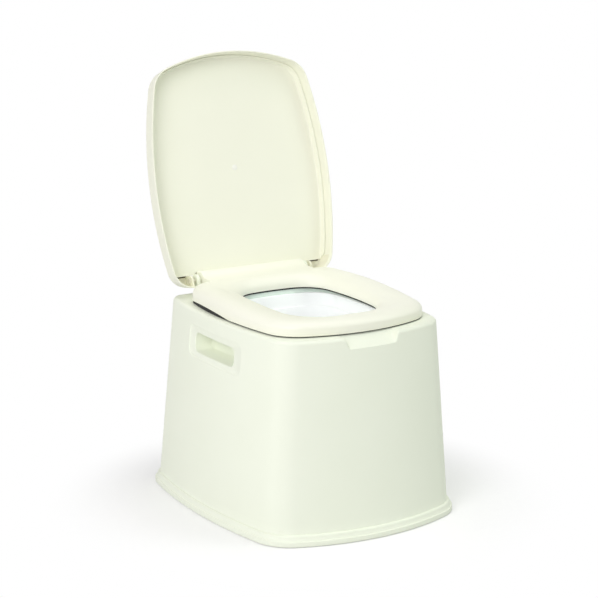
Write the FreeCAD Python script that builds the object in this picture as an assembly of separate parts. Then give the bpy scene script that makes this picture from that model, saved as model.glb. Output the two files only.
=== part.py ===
import FreeCAD, Part
import math
import os

from FreeCAD import Vector

# Portable toilet, in millimetres. The front faces -Y, +Z is up, and the floor is z = 0.

# Base flange: a skirt and a narrower upper tier
base_width = 410.0
base_depth = 480.0
base_bow_front = 46.0
base_bow_side = 24.5
base_bow_back = 4.0
base_corner_front = 70.0
base_corner_back = 52.0
foot_reach = 1.0            # feet stand this far below the skirt
skirt_height = 9.0
tier_height = 9.0
tier_step = 2.5
tier_draft = 1.5
tier_round = 3.5
wall_step = 9.0             # the body wall stands this far inside the skirt

# Body wall and deck
deck_height = 334.0
side_taper = 34.0           # from the skirt's widest place to the body's top edge
front_taper = 32.0
back_taper = 29.0
top_bow_front = 29.0
top_bow_side = 19.0
top_bow_back = 4.0
top_corner_front = 50.0
top_corner_back = 36.0
top_round = 6.0
shell_wall = 3.0
deck_wall = 3.5
collar_depth = 12.0

# Hand-hold pocket in each side wall, inside a shallow frame
hold_y = 12.0
hold_drop = 51.0            # from the deck to the middle of the pocket
hold_length = 130.0
hold_height = 32.0
hold_corner = 10.0
hold_depth = 34.0
frame_length = 172.0
frame_height = 52.0
frame_corner = 13.0
frame_depth = 1.2

# Finger notch in the front top edge
notch_top_width = 105.0
notch_bottom_width = 89.0
notch_drop = 19.0
notch_run = 21.0
notch_lead = 4.0            # the notch starts this far under the seat's front edge

# Hinge, shared by the seat and the lid
hinge_setback = 24.0        # from the body's back edge to the hinge axis
hinge_rise = 25.0           # from the deck to the hinge axis
lid_open_angle = 104.0
seat_raise_angle = 95.0
swing_reach = 60.0          # how far behind the axis the back edge makes room for the lid
swing_play = 1.0            # between the body's back edge and the lid swung right over
pin_radius = 3.5
pin_fit = 0.02
running_fit = 0.05
pin_head_radius = 5.5
pin_head_height = 2.0
pin_tip = 2.0
pin_head_round = 1.4
pin_chamfer = 1.0
side_play = 0.3
lug_radius = 10.5
lug_front = 12.0            # the lug's foot reaches this far in front of the hinge axis
lug_back = 1.5              # and this far behind it, clear of the lid as it swings right over
lug_slot_play = 1.0         # beside the lug, in the slot of the lid's skin
lug_inset = 65.0            # from the body's widest top edge to the lug's inner face
lug_thickness = 6.0
ear_gap = 6.0               # open slot between the body's lug and the lid's ear
ear_thickness = 4.0
ear_radius = 9.0
barrel_radius = 15.0
barrel_gap = 3.0            # between the body's lug and the seat's barrel
barrel_end_wall = 6.0

# Seat ring
seat_side_ledge = 13.0      # the body's top edge shows this far round the seat
seat_front_ledge = 18.0
seat_hinge_gap = 26.0       # from the ring's back edge to the hinge axis
seat_bow_front = 36.0
seat_bow_side = 17.0
seat_bow_back = 3.0
seat_corner_front = 66.0
seat_corner_back = 40.0
seat_gap = 2.0              # between the deck and the seat's lower edge
seat_thickness = 30.0
seat_shoulder = 22.0        # width of the rounded outer shoulder
seat_wall = 3.0
relief_length = 160.0       # finger relief in the lower edge of each side
relief_rise = 3.0
relief_y = 70.0
shoulder_rise = 18.0        # height of the rounded outer shoulder
hole_side_band = 69.0       # width of the seat beside the hole
hole_front_band = 58.0      # in front of the hole
hole_back_band = 48.0       # and behind it
hole_bow_front = 20.0
hole_bow_side = 10.0
hole_bow_back = 9.0
hole_front_middle = 17.0    # half of the front edge between its corner rounds
hole_back_middle = 27.0     # and of the back edge
hole_roll = 22.0            # width of the rounded inner shoulder
roll_rise = 15.0            # height of the rounded inner shoulder
hole_lift = 7.0             # the hole's wall ends this far above the seat's lower edge
ridge_drop = 0.2            # the barrel's bridge lies this far under the seat's top
bridge_lap = 6.0            # and reaches this far over the ring
seat_rib_depth = 9.0
seat_rib_wall = 2.0
seat_rib_count = 12

# Seat bumpers
bumper_radius = 5.5
bumper_stem_radius = 2.5
bumper_stem = 7.0
bumper_stem_play = 1.0      # left free above the stem
bumper_recess = 2.5         # the boss ends this far above the seat's lower edge
bumper_round = 1.2
bumper_rest = 0.2           # clearance to the deck
bumper_boss_radius = 7.0
front_bumper_inset = 13.0   # from the seat's widest place
front_bumper_y = -70.0
rear_bumper_inset = 30.0
rear_bumper_gap = 37.0      # from the ring's back edge

# Lid
lid_overhang = 3.5          # beyond the body's top edge on each side
lid_front_ledge = 3.2       # the body's front edge shows this far in front of the lid
lid_tail = 13.5             # from the hinge axis to the closed lid's back edge
lid_bow_front = 34.0
lid_bow_side = 23.0
lid_bow_back = 1.5
lid_belly = 12.0            # the widest place lies this far behind the middle
lid_corner_front = 47.0
lid_corner_back = 38.0
lid_gap = 5.0               # between the deck and the closed lid's rim
lid_depth = 38.4
lid_wall = 2.4
lid_draft = 3.2
lid_shoulder = 12.0         # width of the rounded edge of the lid's top
lid_back_draft = 2.0
lid_back_shoulder = 5.0
lid_rise = 9.0              # height of the rounded edge
liner_recess = 30.0         # from the rim to the liner's face
liner_wall = 2.2
liner_edge = 11.0           # height of the tray's edge towards the rim
liner_fit = 0.2
trough_start = 13.5         # the liner's middle ends this far in front of the hinge axis
wing_gap = 1.5              # from the seat's barrel to the liner's wings beside it

# Pail
pail_side_lap = 19.0        # the pail's mouth is this much wider than the hole on each side
pail_front_lap = 1.0
pail_back_lap = 2.0
pail_bow_front = 14.0
pail_bow_side = 10.0
pail_bow_back = 9.0
pail_front_middle = 32.0    # half of the front edge between its corner rounds
pail_back_middle = 42.0     # and of the back edge
pail_wall = 2.4
pail_depth = 262.0
pail_draft = 22.0
pail_rim_width = 13.0
pail_rim_thickness = 3.0
pail_lip = 3.5              # the mouth stands this far above the rim
pail_rebate_depth = 8.0     # seat for the pail's own lid, inside the mouth
pail_rebate = 3.0
pail_step_depth = 27.0
pail_step = 2.0
pail_floor_round = 14.0
pail_play = 2.0             # between the pail's wall and the deck's hole

# Pail's bail, folded down on the deck
bail_wire_radius = 2.2
bail_hole_play = 0.3
bail_side_gap = 10.0        # from the rim's edge to the wire's centre line
bail_front_gap = 12.0
bail_corner = 60.0
bail_inward = 13.0
bail_end_bend = 6.6
bail_y = -9.0
grip_radius = 6.5
grip_length = 96.0
grip_bore_play = 0.15
grip_rest = 0.3
grip_round = 2.0
bail_ear_thickness = 4.0
bail_ear_radius = 6.5
bail_ear_inset = 1.0        # from the edge of the rim

# Rubber feet
foot_radius = 11.0
foot_thickness = 3.0
foot_chamfer = 0.8
foot_stem_radius = 3.5
foot_stem = 8.0
foot_stem_fit = 0.05
foot_stem_play = 1.0        # left free above the stem
foot_boss_radius = 13.0
foot_boss_height = 24.0
foot_edge = 22.0            # from the skirt's corner to the foot's centre

# Making of the model
round_steps = 5             # facets in a quarter of a rounded edge
overshoot = 1.0             # cutters run this far past the faces that they open

# Plan sizes that follow from the sizes above
top_width = base_width - 2 * side_taper
top_front = front_taper - base_depth / 2
top_back = base_depth / 2 - back_taper
hinge_y = top_back - hinge_setback
seat_width = top_width - 2 * seat_side_ledge
seat_front = top_front + seat_front_ledge
seat_back = hinge_y - seat_hinge_gap
hole_width = seat_width - 2 * hole_side_band
hole_front = seat_front + hole_front_band
hole_back = seat_back - hole_back_band
hole_corner_front = hole_width / 2 - hole_bow_side - hole_front_middle
hole_corner_back = hole_width / 2 - hole_bow_side - hole_back_middle
lid_width = top_width + 2 * lid_overhang
lid_front = top_front + lid_front_ledge
lid_back = hinge_y + lid_tail
pail_width = hole_width + 2 * pail_side_lap
pail_front = hole_front - pail_front_lap
pail_back = hole_back + pail_back_lap
pail_corner_front = pail_width / 2 - pail_bow_side - pail_front_middle
pail_corner_back = pail_width / 2 - pail_bow_side - pail_back_middle
bail_half_width = pail_width / 2 + pail_rim_width + bail_side_gap
bail_front = pail_front - pail_rim_width - bail_front_gap

# Levels that follow from the sizes above
skirt_low = foot_reach
tier_low = skirt_low + skirt_height
wall_low = tier_low + tier_height
hold_z = deck_height - hold_drop
hinge_z = deck_height + hinge_rise
seat_low = deck_height + seat_gap
seat_top = seat_low + seat_thickness
rim_low = deck_height + lid_gap
lid_top = rim_low + lid_depth
liner_face = rim_low + liner_recess
pail_rim_top = deck_height + pail_rim_thickness
pail_top = pail_rim_top + pail_lip
bail_z = deck_height + grip_rest + grip_radius
lug_inner = top_width / 2 - lug_inset
lug_outer = lug_inner + lug_thickness
ear_inner = lug_outer + ear_gap
ear_outer = ear_inner + ear_thickness
barrel_end = lug_inner - barrel_gap
liner_back = hinge_y - ear_radius - liner_fit
bumper_seat = seat_low + bumper_recess
hinge_axis = Vector(0, hinge_y, hinge_z)


def circle_meet(centre_a, radius_a, centre_b, radius_b, near):
    # The crossing of two circles that lies nearer to a given point
    across = centre_b.sub(centre_a)
    gap = across.Length
    along = (radius_a ** 2 - radius_b ** 2 + gap ** 2) / (2 * gap)
    aside = math.sqrt(max(radius_a ** 2 - along ** 2, 0.0))
    foot = centre_a + across * (along / gap)
    offset = Vector(-across.y, across.x, 0) * (aside / gap)
    return min((foot + offset, foot - offset), key=near.distanceToPoint)


def bow_radius(chord, bow):
    return (chord ** 2 / 4 + bow ** 2) / (2 * bow)


def toward(centre, point, distance):
    # The point at a distance from the centre, on the line to another point
    return centre + (point - centre).normalize() * distance


class Outline:
    # Rounded rectangle with four bowed sides and four corner arcs, tangent all round

    def __init__(self, width, front, back, bows, corners, belly=0.0):
        self.width = width
        self.front = front
        self.back = back
        self.bows = bows
        self.corners = corners
        self.belly = belly
        bow_front, bow_side, bow_back = bows
        corner_front, corner_back = corners
        half = width / 2 - bow_side
        low = front + bow_front
        high = back - bow_back
        middle = (low + high) / 2 + belly
        r_front = bow_radius(2 * half, bow_front)
        r_side = bow_radius(high - low, bow_side)
        r_back = bow_radius(2 * half, bow_back)
        self.sides = (
            (Vector(0, front + r_front, 0), r_front),
            (Vector(width / 2 - r_side, middle, 0), r_side),
            (Vector(0, back - r_back, 0), r_back),
            (Vector(r_side - width / 2, middle, 0), r_side),
        )
        sharp = ((half, low, corner_front), (half, high, corner_back),
                 (-half, high, corner_back), (-half, low, corner_front))
        self.rounds = []
        for index, (x, y, radius) in enumerate(sharp):
            centre_a, radius_a = self.sides[index]
            centre_b, radius_b = self.sides[(index + 1) % 4]
            sharp_corner = Vector(x, y, 0)
            centre = circle_meet(centre_a, radius_a - radius, centre_b, radius_b - radius, sharp_corner)
            self.rounds.append((centre, radius))

    def shrunk(self, side, front, back):
        # A smaller outline of the same character, with its own inset at the back
        corners = tuple(radius - min(side, radius / 2) for radius in self.corners)
        return Outline(self.width - 2 * side, self.front + front, self.back - back, self.bows, corners,
                       self.belly)

    def wire(self, z, inset=0.0):
        edges = []
        lift = Vector(0, 0, z)
        for index in range(4):
            centre, radius = self.sides[index]
            before, _ = self.rounds[index - 1]
            after, corner = self.rounds[index]
            next_centre, next_radius = self.sides[(index + 1) % 4]
            start = toward(centre, before, radius - inset)
            end = toward(centre, after, radius - inset)
            middle = toward(centre, (start + end) * 0.5, radius - inset)
            edges.append(Part.Arc(start + lift, middle + lift, end + lift).toShape())
            turn = toward(next_centre, after, next_radius - inset)
            bend = toward(after, (end + turn) * 0.5, corner - inset)
            edges.append(Part.Arc(end + lift, bend + lift, turn + lift).toShape())
        return Part.Wire(edges)

    def corner_spot(self, index, inset):
        # A point this far inside the middle of a corner arc
        centre, radius = self.rounds[index]
        outward = Vector(math.copysign(1, centre.x), math.copysign(1, centre.y), 0).normalize()
        return centre + outward * (radius - inset)


def stack(levels):
    # Solid through a pile of outlines, each given as outline, height and inset
    return Part.makeLoft([shape.wire(z, inset) for shape, z, inset in levels], True, True)


def quarter_steps(run, rise):
    # Insets and rises along a quarter of an ellipse, from upright to level
    steps = []
    for index in range(1, round_steps + 1):
        angle = math.radians(90 * index / round_steps)
        steps.append((run * (1 - math.cos(angle)), rise * math.sin(angle)))
    return steps


def block(x0, x1, y0, y1, z0, z1):
    return Part.makeBox(x1 - x0, y1 - y0, z1 - z0, Vector(x0, y0, z0))


def rod(x0, x1, radius, y=hinge_y, z=hinge_z):
    # Cylinder along X
    return Part.makeCylinder(radius, x1 - x0, Vector(x0, y, z), Vector(1, 0, 0))


def side_plate(points, x0, x1):
    # Prism along X over a polygon of y, z points
    corners = [Vector(x0, y, z) for y, z in points]
    face = Part.Face(Part.makePolygon(corners + corners[:1]))
    return face.extrude(Vector(x1 - x0, 0, 0))


def rounded_plate(length, height, corner, y, z, x0, x1):
    # Prism along X over a rectangle with rounded corners
    flat = block(x0, x1, y - length / 2, y + length / 2, z - height / 2, z + height / 2)
    edges = [edge for edge in flat.Edges if abs(edge.tangentAt(edge.FirstParameter).x) > 0.9]
    return flat.makeFillet(corner, edges)


def mirrored(shape):
    return shape.mirror(Vector(0, 0, 0), Vector(1, 0, 0))


base = Outline(base_width, -base_depth / 2, base_depth / 2,
               (base_bow_front, base_bow_side, base_bow_back), (base_corner_front, base_corner_back))
top = Outline(top_width, top_front, top_back,
              (top_bow_front, top_bow_side, top_bow_back), (top_corner_front, top_corner_back))
ring = Outline(seat_width, seat_front, seat_back,
               (seat_bow_front, seat_bow_side, seat_bow_back), (seat_corner_front, seat_corner_back))
hole = Outline(hole_width, hole_front, hole_back,
               (hole_bow_front, hole_bow_side, hole_bow_back), (hole_corner_front, hole_corner_back))
cover = Outline(lid_width, lid_front, lid_back,
                (lid_bow_front, lid_bow_side, lid_bow_back), (lid_corner_front, lid_corner_back), lid_belly)
pail = Outline(pail_width, pail_front, pail_back,
               (pail_bow_front, pail_bow_side, pail_bow_back), (pail_corner_front, pail_corner_back))


def body_wall(inset):
    # The tapered body above the flange, with its rounded top edge
    levels = [(base, wall_low, wall_step + inset), (top, deck_height - top_round, inset)]
    for run, rise in quarter_steps(top_round, top_round):
        levels.append((top, deck_height - top_round + rise, run + inset))
    return stack(levels)


def flange_tiers():
    skirt = stack([(base, skirt_low, 0), (base, tier_low, 0)])
    levels = [(base, tier_low, tier_step), (base, wall_low - tier_round, tier_step + tier_draft)]
    for run, rise in quarter_steps(tier_round, tier_round):
        levels.append((base, wall_low - tier_round + rise, tier_step + tier_draft + run))
    return skirt.fuse(stack(levels))


def swing_relief(grow):
    # Room along the deck's back edge for the lid, carried right over by the raised seat
    room = block(-lid_width / 2, lid_width / 2, hinge_y - swing_reach, hinge_y - lug_front,
                 hinge_z, lid_top + swing_play + grow)
    room.rotate(hinge_axis, Vector(-1, 0, 0), lid_open_angle + seat_raise_angle)
    return room


def body_hollow():
    # What the moulding core leaves open, from the floor to the deck's underside
    tier_inset = tier_step + tier_draft + shell_wall
    ledge = wall_low - shell_wall
    skirt = stack([(base, 0, shell_wall), (base, tier_low - shell_wall, shell_wall)])
    tier = stack([(base, tier_low - shell_wall, tier_inset), (base, ledge, tier_inset)])
    wall = stack([(base, ledge, wall_step + shell_wall),
                  (top, deck_height - top_round, shell_wall),
                  (top, deck_height - deck_wall, shell_wall + top_round / 2)])
    return [skirt, tier, wall.cut(swing_relief(shell_wall))]


def hinge_lug(x0):
    # Upright on the deck, rounded about the hinge axis
    low = deck_height - deck_wall / 2
    foot = [(hinge_y - lug_front, low), (hinge_y + lug_back, low),
            (hinge_y + lug_back, hinge_z), (hinge_y - lug_radius, hinge_z)]
    plate = side_plate(foot, x0, x0 + lug_thickness)
    return plate.fuse(rod(x0, x0 + lug_thickness, lug_radius))


def finger_notch(grow):
    # Sloping scoop in the front edge, grown by a wall for the material behind it
    deep = seat_front + notch_lead + grow
    far = top_front - notch_run
    wires = []
    for width, y, z in ((notch_top_width, deep, deck_height + overshoot),
                        (notch_bottom_width, deep - notch_run, deck_height - notch_drop - grow)):
        half = width / 2 + grow
        corners = [Vector(-half, far, z), Vector(half, far, z), Vector(half, y, z), Vector(-half, y, z)]
        wires.append(Part.makePolygon(corners + corners[:1]))
    return Part.makeLoft(wires, True, True)


def hold_plate(length, height, corner, depth):
    outside = -base_width / 2
    face = -top_width / 2
    return rounded_plate(length, height, corner, hold_y, hold_z, outside, face + depth)


def foot_spots():
    return {name: base.corner_spot(index, foot_edge) for index, name in
            ((3, "front_left"), (0, "front_right"), (2, "rear_left"), (1, "rear_right"))}


def body_shell():
    outer = body_wall(0).cut(swing_relief(0))
    shell = outer.fuse(flange_tiers()).cut(body_hollow())
    collar = stack([(pail, deck_height - collar_depth, -pail_play - pail_wall - shell_wall),
                    (pail, deck_height - deck_wall, -pail_play - pail_wall - shell_wall)])
    shell = shell.fuse(collar)
    cup = hold_plate(hold_length + 2 * shell_wall, hold_height + 2 * shell_wall,
                     hold_corner + shell_wall, hold_depth + shell_wall)
    pocket = hold_plate(hold_length, hold_height, hold_corner, hold_depth)
    recess = hold_plate(frame_length, frame_height, frame_corner, shell_wall + frame_depth)
    recess = recess.common(outer).cut(body_wall(frame_depth))
    backing = finger_notch(shell_wall).common(outer)
    shell = shell.fuse([cup.common(outer), mirrored(cup).common(outer), backing])
    shell = shell.cut([pocket, mirrored(pocket), recess, mirrored(recess), finger_notch(0)])
    shell = shell.cut(stack([(pail, deck_height - collar_depth - overshoot, -pail_play - pail_wall),
                             (pail, deck_height + overshoot, -pail_play - pail_wall)]))
    lug = hinge_lug(lug_inner)
    shell = shell.fuse([lug, mirrored(lug)])
    bore = rod(lug_inner - overshoot, lug_outer + overshoot, pin_radius + pin_fit)
    shell = shell.cut([bore, mirrored(bore)])
    inside = body_wall(shell_wall / 2)
    for spot in foot_spots().values():
        low = skirt_low + foot_thickness - foot_reach
        boss = Part.makeCylinder(foot_boss_radius, foot_boss_height, Vector(spot.x, spot.y, low))
        upper = boss.common(inside)
        lower = boss.common(stack([(base, low, shell_wall / 2),
                                   (base, wall_low, wall_step + shell_wall / 2)]))
        shell = shell.fuse([upper, lower])
        socket = foot_stem + foot_stem_play
        shell = shell.cut(Part.makeCylinder(foot_stem_radius + foot_stem_fit, socket,
                                            Vector(spot.x, spot.y, low)))
    return shell


def foot(spot):
    low = skirt_low + foot_thickness - foot_reach
    pad = Part.makeCylinder(foot_radius, low, Vector(spot.x, spot.y, 0))
    rim = [edge for edge in pad.Edges if edge.Closed and edge.CenterOfMass.z < low / 2]
    pad = pad.makeChamfer(foot_chamfer, rim)
    stem = Part.makeCylinder(foot_stem_radius, foot_stem, Vector(spot.x, spot.y, low))
    return pad.fuse(stem)


def seat_skin(inset, low):
    # The seat's outer form: upright side, then a rounded shoulder up to the top
    levels = [(ring, low, inset), (ring, seat_top - shoulder_rise, inset)]
    for run, climb in quarter_steps(seat_shoulder, shoulder_rise - inset):
        levels.append((ring, seat_top - shoulder_rise + climb, run + inset))
    return stack(levels)


def hole_core(grow):
    # The seat's hole: a short upright wall that rolls out into the top
    levels = [(hole, deck_height, -grow), (hole, seat_top - roll_rise, -grow)]
    for run, climb in quarter_steps(hole_roll, roll_rise - grow):
        levels.append((hole, seat_top - roll_rise + climb, -run - grow))
    levels.append((hole, seat_top + overshoot, -hole_roll - grow))
    return stack(levels)


def barrel_bridge(inset, half):
    # The part of the seat that reaches back from the ring to the hinge barrel
    radius = barrel_radius - inset
    ridge = seat_top - inset - ridge_drop
    start = seat_back - seat_shoulder - bridge_lap
    low = seat_low + hole_lift + inset
    points = [(start, low), (hinge_y, hinge_z - radius), (hinge_y, ridge), (start, ridge)]
    return side_plate(points, -half, half).fuse(rod(-half, half, radius))


def seat_ribs(room):
    # Radial stiffening ribs under the seat's top
    middle = Vector(0, (hole_front + hole_back) / 2, seat_top - seat_wall - seat_rib_depth)
    ribs = []
    for index in range(seat_rib_count):
        plate = block(0, seat_width, -seat_rib_wall / 2, seat_rib_wall / 2, 0, seat_thickness)
        plate.rotate(Vector(0, 0, 0), Vector(0, 0, 1), 360 * (index + 0.5) / seat_rib_count)
        plate.translate(middle)
        ribs.append(plate.common(room))
    return ribs


def bumper_places():
    front_x = seat_width / 2 - front_bumper_inset
    rear_x = seat_width / 2 - rear_bumper_inset
    rear_y = seat_back - rear_bumper_gap
    return {"front_left": (-front_x, front_bumper_y), "front_right": (front_x, front_bumper_y),
            "rear_left": (-rear_x, rear_y), "rear_right": (rear_x, rear_y)}


def side_reliefs():
    # Shallow arches under the two sides, for the fingers that lift the seat
    radius = bow_radius(relief_length, relief_rise)
    near = hole_width / 2 + hole_roll
    arch = rod(near, seat_width, radius, relief_y, seat_low + relief_rise - radius)
    return [arch, mirrored(arch)]


def seat():
    inside = barrel_end - barrel_end_wall
    skin = seat_skin(0, seat_low).cut(hole_core(0))
    room = seat_skin(seat_wall, deck_height).cut(hole_core(seat_wall))
    hollow = barrel_bridge(seat_wall, inside)
    under = block(-inside, inside, seat_back, hinge_y + barrel_radius - seat_wall, deck_height, hinge_z)
    ring_solid = skin.fuse(barrel_bridge(0, barrel_end)).cut([room, hollow, under] + side_reliefs())
    lift = stack([(hole, deck_height, -seat_wall - overshoot),
                  (hole, seat_low + hole_lift, -seat_wall - overshoot)])
    ring_solid = ring_solid.cut(lift)
    bosses = []
    stems = []
    for x, y in bumper_places().values():
        boss = Part.makeCylinder(bumper_boss_radius, seat_thickness, Vector(x, y, bumper_seat))
        bosses.append(boss.common(skin))
        socket = bumper_stem + bumper_stem_play
        stems.append(Part.makeCylinder(bumper_stem_radius + pin_fit, socket, Vector(x, y, bumper_seat)))
    ring_solid = ring_solid.fuse(seat_ribs(room.cut(hollow)) + bosses)
    bore = rod(inside - overshoot, barrel_end + overshoot, pin_radius + running_fit)
    return ring_solid.cut(stems + [bore, mirrored(bore)])


def seat_bumper(x, y):
    low = deck_height + bumper_rest
    head = Part.makeCylinder(bumper_radius, bumper_seat - low, Vector(x, y, low))
    rim = [edge for edge in head.Edges if edge.Closed and edge.CenterOfMass.z < low + bumper_round]
    head = head.makeFillet(bumper_round, rim)
    return head.fuse(Part.makeCylinder(bumper_stem_radius, bumper_stem, Vector(x, y, bumper_seat)))


def lid_skin(inset, low):
    # The closed lid's form: drafted rim wall, then a rounded edge up to the top
    drafted = cover.shrunk(lid_draft, lid_draft, lid_back_draft)
    levels = [(cover, low, inset), (drafted, lid_top - lid_rise, inset)]
    for run, climb in quarter_steps(lid_shoulder, lid_rise - inset):
        back = lid_back_draft + run * lid_back_shoulder / lid_shoulder
        shape = cover.shrunk(lid_draft + run, lid_draft + run, back)
        levels.append((shape, lid_top - lid_rise + climb, inset))
    return stack(levels)


def opened(shape):
    # Turns a piece of the closed lid to its open, resting place
    turned = shape.copy()
    turned.rotate(hinge_axis, Vector(-1, 0, 0), lid_open_angle)
    return turned


def lid_ear(x0):
    front = hinge_y - ear_radius
    low = hinge_z - ear_radius
    points = [(front, hinge_z), (hinge_y, low), (lid_back, low), (lid_back, lid_top), (front, lid_top)]
    plate = side_plate(points, x0, x0 + ear_thickness)
    return plate.fuse(rod(x0, x0 + ear_thickness, ear_radius))


def lug_slots():
    # Clearance in the skin for the body's lugs when the lid swings right over
    slot = block(lug_inner - lug_slot_play, lug_outer + lug_slot_play, liner_back,
                 lid_back + overshoot, rim_low, lid_top + overshoot)
    return [slot, mirrored(slot)]


def lid_shell():
    skin = lid_skin(0, rim_low)
    shell = skin.cut(lid_skin(lid_wall, rim_low - overshoot))
    trough = block(-ear_inner, ear_inner, hinge_y - trough_start, lid_back + overshoot,
                   rim_low - overshoot, lid_top - lid_wall)
    ear = lid_ear(ear_inner).common(skin)
    shell = shell.cut(trough).fuse([ear, mirrored(ear)])
    bore = rod(ear_inner - overshoot, ear_outer + overshoot, pin_radius + running_fit)
    return opened(shell.cut([bore, mirrored(bore)] + lug_slots()))


def lid_liner():
    # Tray with a low edge towards the rim, closed at the back, with a wing beside each end of the barrel
    middle_back = hinge_y - trough_start
    side = barrel_end + wing_gap
    gap = lid_wall + liner_fit
    far = lid_width
    tray = lid_skin(gap, rim_low - overshoot)
    tray = tray.common(block(-far, far, lid_front, liner_back, liner_face - liner_edge, lid_top))
    under = lid_skin(gap + liner_wall, rim_low - overshoot)
    under = under.common(block(-far, far, lid_front, liner_back + overshoot, rim_low, liner_face))
    over = liner_face + liner_wall
    behind = block(-far, far, lid_front, middle_back - liner_wall, over, lid_top)
    wing = block(side + liner_wall, far, lid_front, liner_back - liner_wall, over, lid_top)
    bay = block(-side, side, middle_back, liner_back + overshoot, rim_low, lid_top)
    return opened(tray.cut([under, behind, wing, mirrored(wing), bay]))


def hinge_pin():
    # Right-hand pin, pushed in from outside, with a low domed head
    tip = barrel_end - barrel_end_wall - pin_tip
    head = ear_outer + side_play
    shank = rod(tip, head, pin_radius)
    nose = [edge for edge in shank.Edges if edge.Closed and edge.CenterOfMass.x < tip + pin_chamfer]
    shank = shank.makeChamfer(pin_chamfer, nose)
    cap = rod(head, head + pin_head_height, pin_head_radius)
    edge = [item for item in cap.Edges if item.Closed and item.CenterOfMass.x > head + pin_head_height / 2]
    return shank.fuse(cap.makeFillet(pin_head_round, edge))


def pail_inset(z):
    return pail_draft * (pail_rim_top - z) / pail_depth


def pail_form(grow):
    # The pail's inner form, or with its wall the outer one: round floor edge, wall, step, upper wall, rebate
    floor = pail_rim_top - pail_depth + pail_wall - grow
    ledge = pail_rim_top - pail_step_depth
    rebate = pail_top - pail_rebate_depth
    upper = pail_rebate - grow
    lower = upper + pail_step
    bend = floor + pail_floor_round
    levels = []
    for run, climb in reversed(quarter_steps(pail_floor_round, pail_floor_round)):
        levels.append((pail, bend - climb, pail_inset(bend) + lower + run))
    levels.append((pail, bend, pail_inset(bend) + lower))
    levels.append((pail, ledge - pail_step / 2, pail_inset(ledge) + lower))
    levels.append((pail, ledge, pail_inset(ledge) + upper))
    levels.append((pail, rebate - pail_rebate / 2, pail_inset(rebate) + upper))
    levels.append((pail, rebate, -grow))
    levels.append((pail, pail_top, -grow))
    return stack(levels)


def bail_ear():
    x1 = pail_width / 2 + pail_rim_width - bail_ear_inset
    x0 = x1 - bail_ear_thickness
    web = block(x0, x1, bail_y - bail_ear_radius, bail_y + bail_ear_radius, deck_height, bail_z)
    ear = web.fuse(rod(x0, x1, bail_ear_radius, bail_y, bail_z))
    return ear.cut(rod(x0 - overshoot, x1 + overshoot, bail_wire_radius + bail_hole_play, bail_y, bail_z))


def bucket():
    rim = stack([(pail, deck_height, -pail_rim_width), (pail, pail_rim_top, -pail_rim_width)])
    hollow = pail_form(0)
    mouth = stack([(pail, pail_top, 0), (pail, pail_top + overshoot, 0)])
    shell = pail_form(pail_wall).fuse(rim).cut([hollow, mouth])
    return shell.fuse([bail_ear(), mirrored(bail_ear())])


def bail_half():
    # Right half of the wire's centre line, from the middle of the front to the end in the ear
    z = bail_z
    side = bail_half_width
    turn = bail_end_bend
    bend = math.sqrt(0.5)
    front_mid = Vector(side - bail_corner * (1 - bend), bail_front + bail_corner * (1 - bend), z)
    front_end = Vector(side - bail_corner, bail_front, z)
    side_start = Vector(side, bail_front + bail_corner, z)
    side_end = Vector(side, bail_y - turn, z)
    back_mid = Vector(side - turn * (1 - bend), bail_y - turn * (1 - bend), z)
    ear_start = Vector(side - turn, bail_y, z)
    ear_end = Vector(side - bail_inward - turn, bail_y, z)
    return [
        Part.LineSegment(Vector(0, bail_front, z), front_end),
        Part.Arc(front_end, front_mid, side_start),
        Part.LineSegment(side_start, side_end),
        Part.Arc(side_end, back_mid, ear_start),
        Part.LineSegment(ear_start, ear_end),
    ]


def bucket_bail():
    path = Part.Wire([line.toShape() for line in bail_half()])
    ring_wire = Part.Wire(Part.makeCircle(bail_wire_radius, Vector(0, bail_front, bail_z), Vector(1, 0, 0)))
    half = path.makePipeShell([ring_wire], True, False)
    return half.fuse(mirrored(half)).removeSplitter()


def bail_grip():
    half = grip_length / 2
    sleeve = rod(-half, half, grip_radius, bail_front, bail_z)
    sleeve = sleeve.makeFillet(grip_round, [edge for edge in sleeve.Edges if edge.Closed])
    bore_radius = bail_wire_radius + grip_bore_play
    return sleeve.cut(rod(-half - overshoot, half + overshoot, bore_radius, bail_front, bail_z))


def write(name, shape):
    solids = shape.Solids
    whole = solids[0] if len(solids) == 1 else Part.makeCompound(solids)
    whole.exportStep("parts/" + name + ".step")
    print(name, len(solids), round(whole.Volume / 1000, 1), "cm3")


def main():
    os.makedirs("parts", exist_ok=True)
    write("body_shell", body_shell())
    write("seat", seat())
    write("lid_shell", lid_shell())
    write("lid_liner", lid_liner())
    write("right_hinge_pin", hinge_pin())
    write("left_hinge_pin", mirrored(hinge_pin()))
    write("bucket", bucket())
    write("bucket_bail", bucket_bail())
    write("bail_grip", bail_grip())
    for name, spot in foot_spots().items():
        write(name + "_foot", foot(spot))
    for name, (x, y) in bumper_places().items():
        write(name + "_seat_bumper", seat_bumper(x, y))


main()
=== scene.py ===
import math

import bmesh
import bpy
import numpy as np
from mathutils import Matrix, Vector


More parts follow.
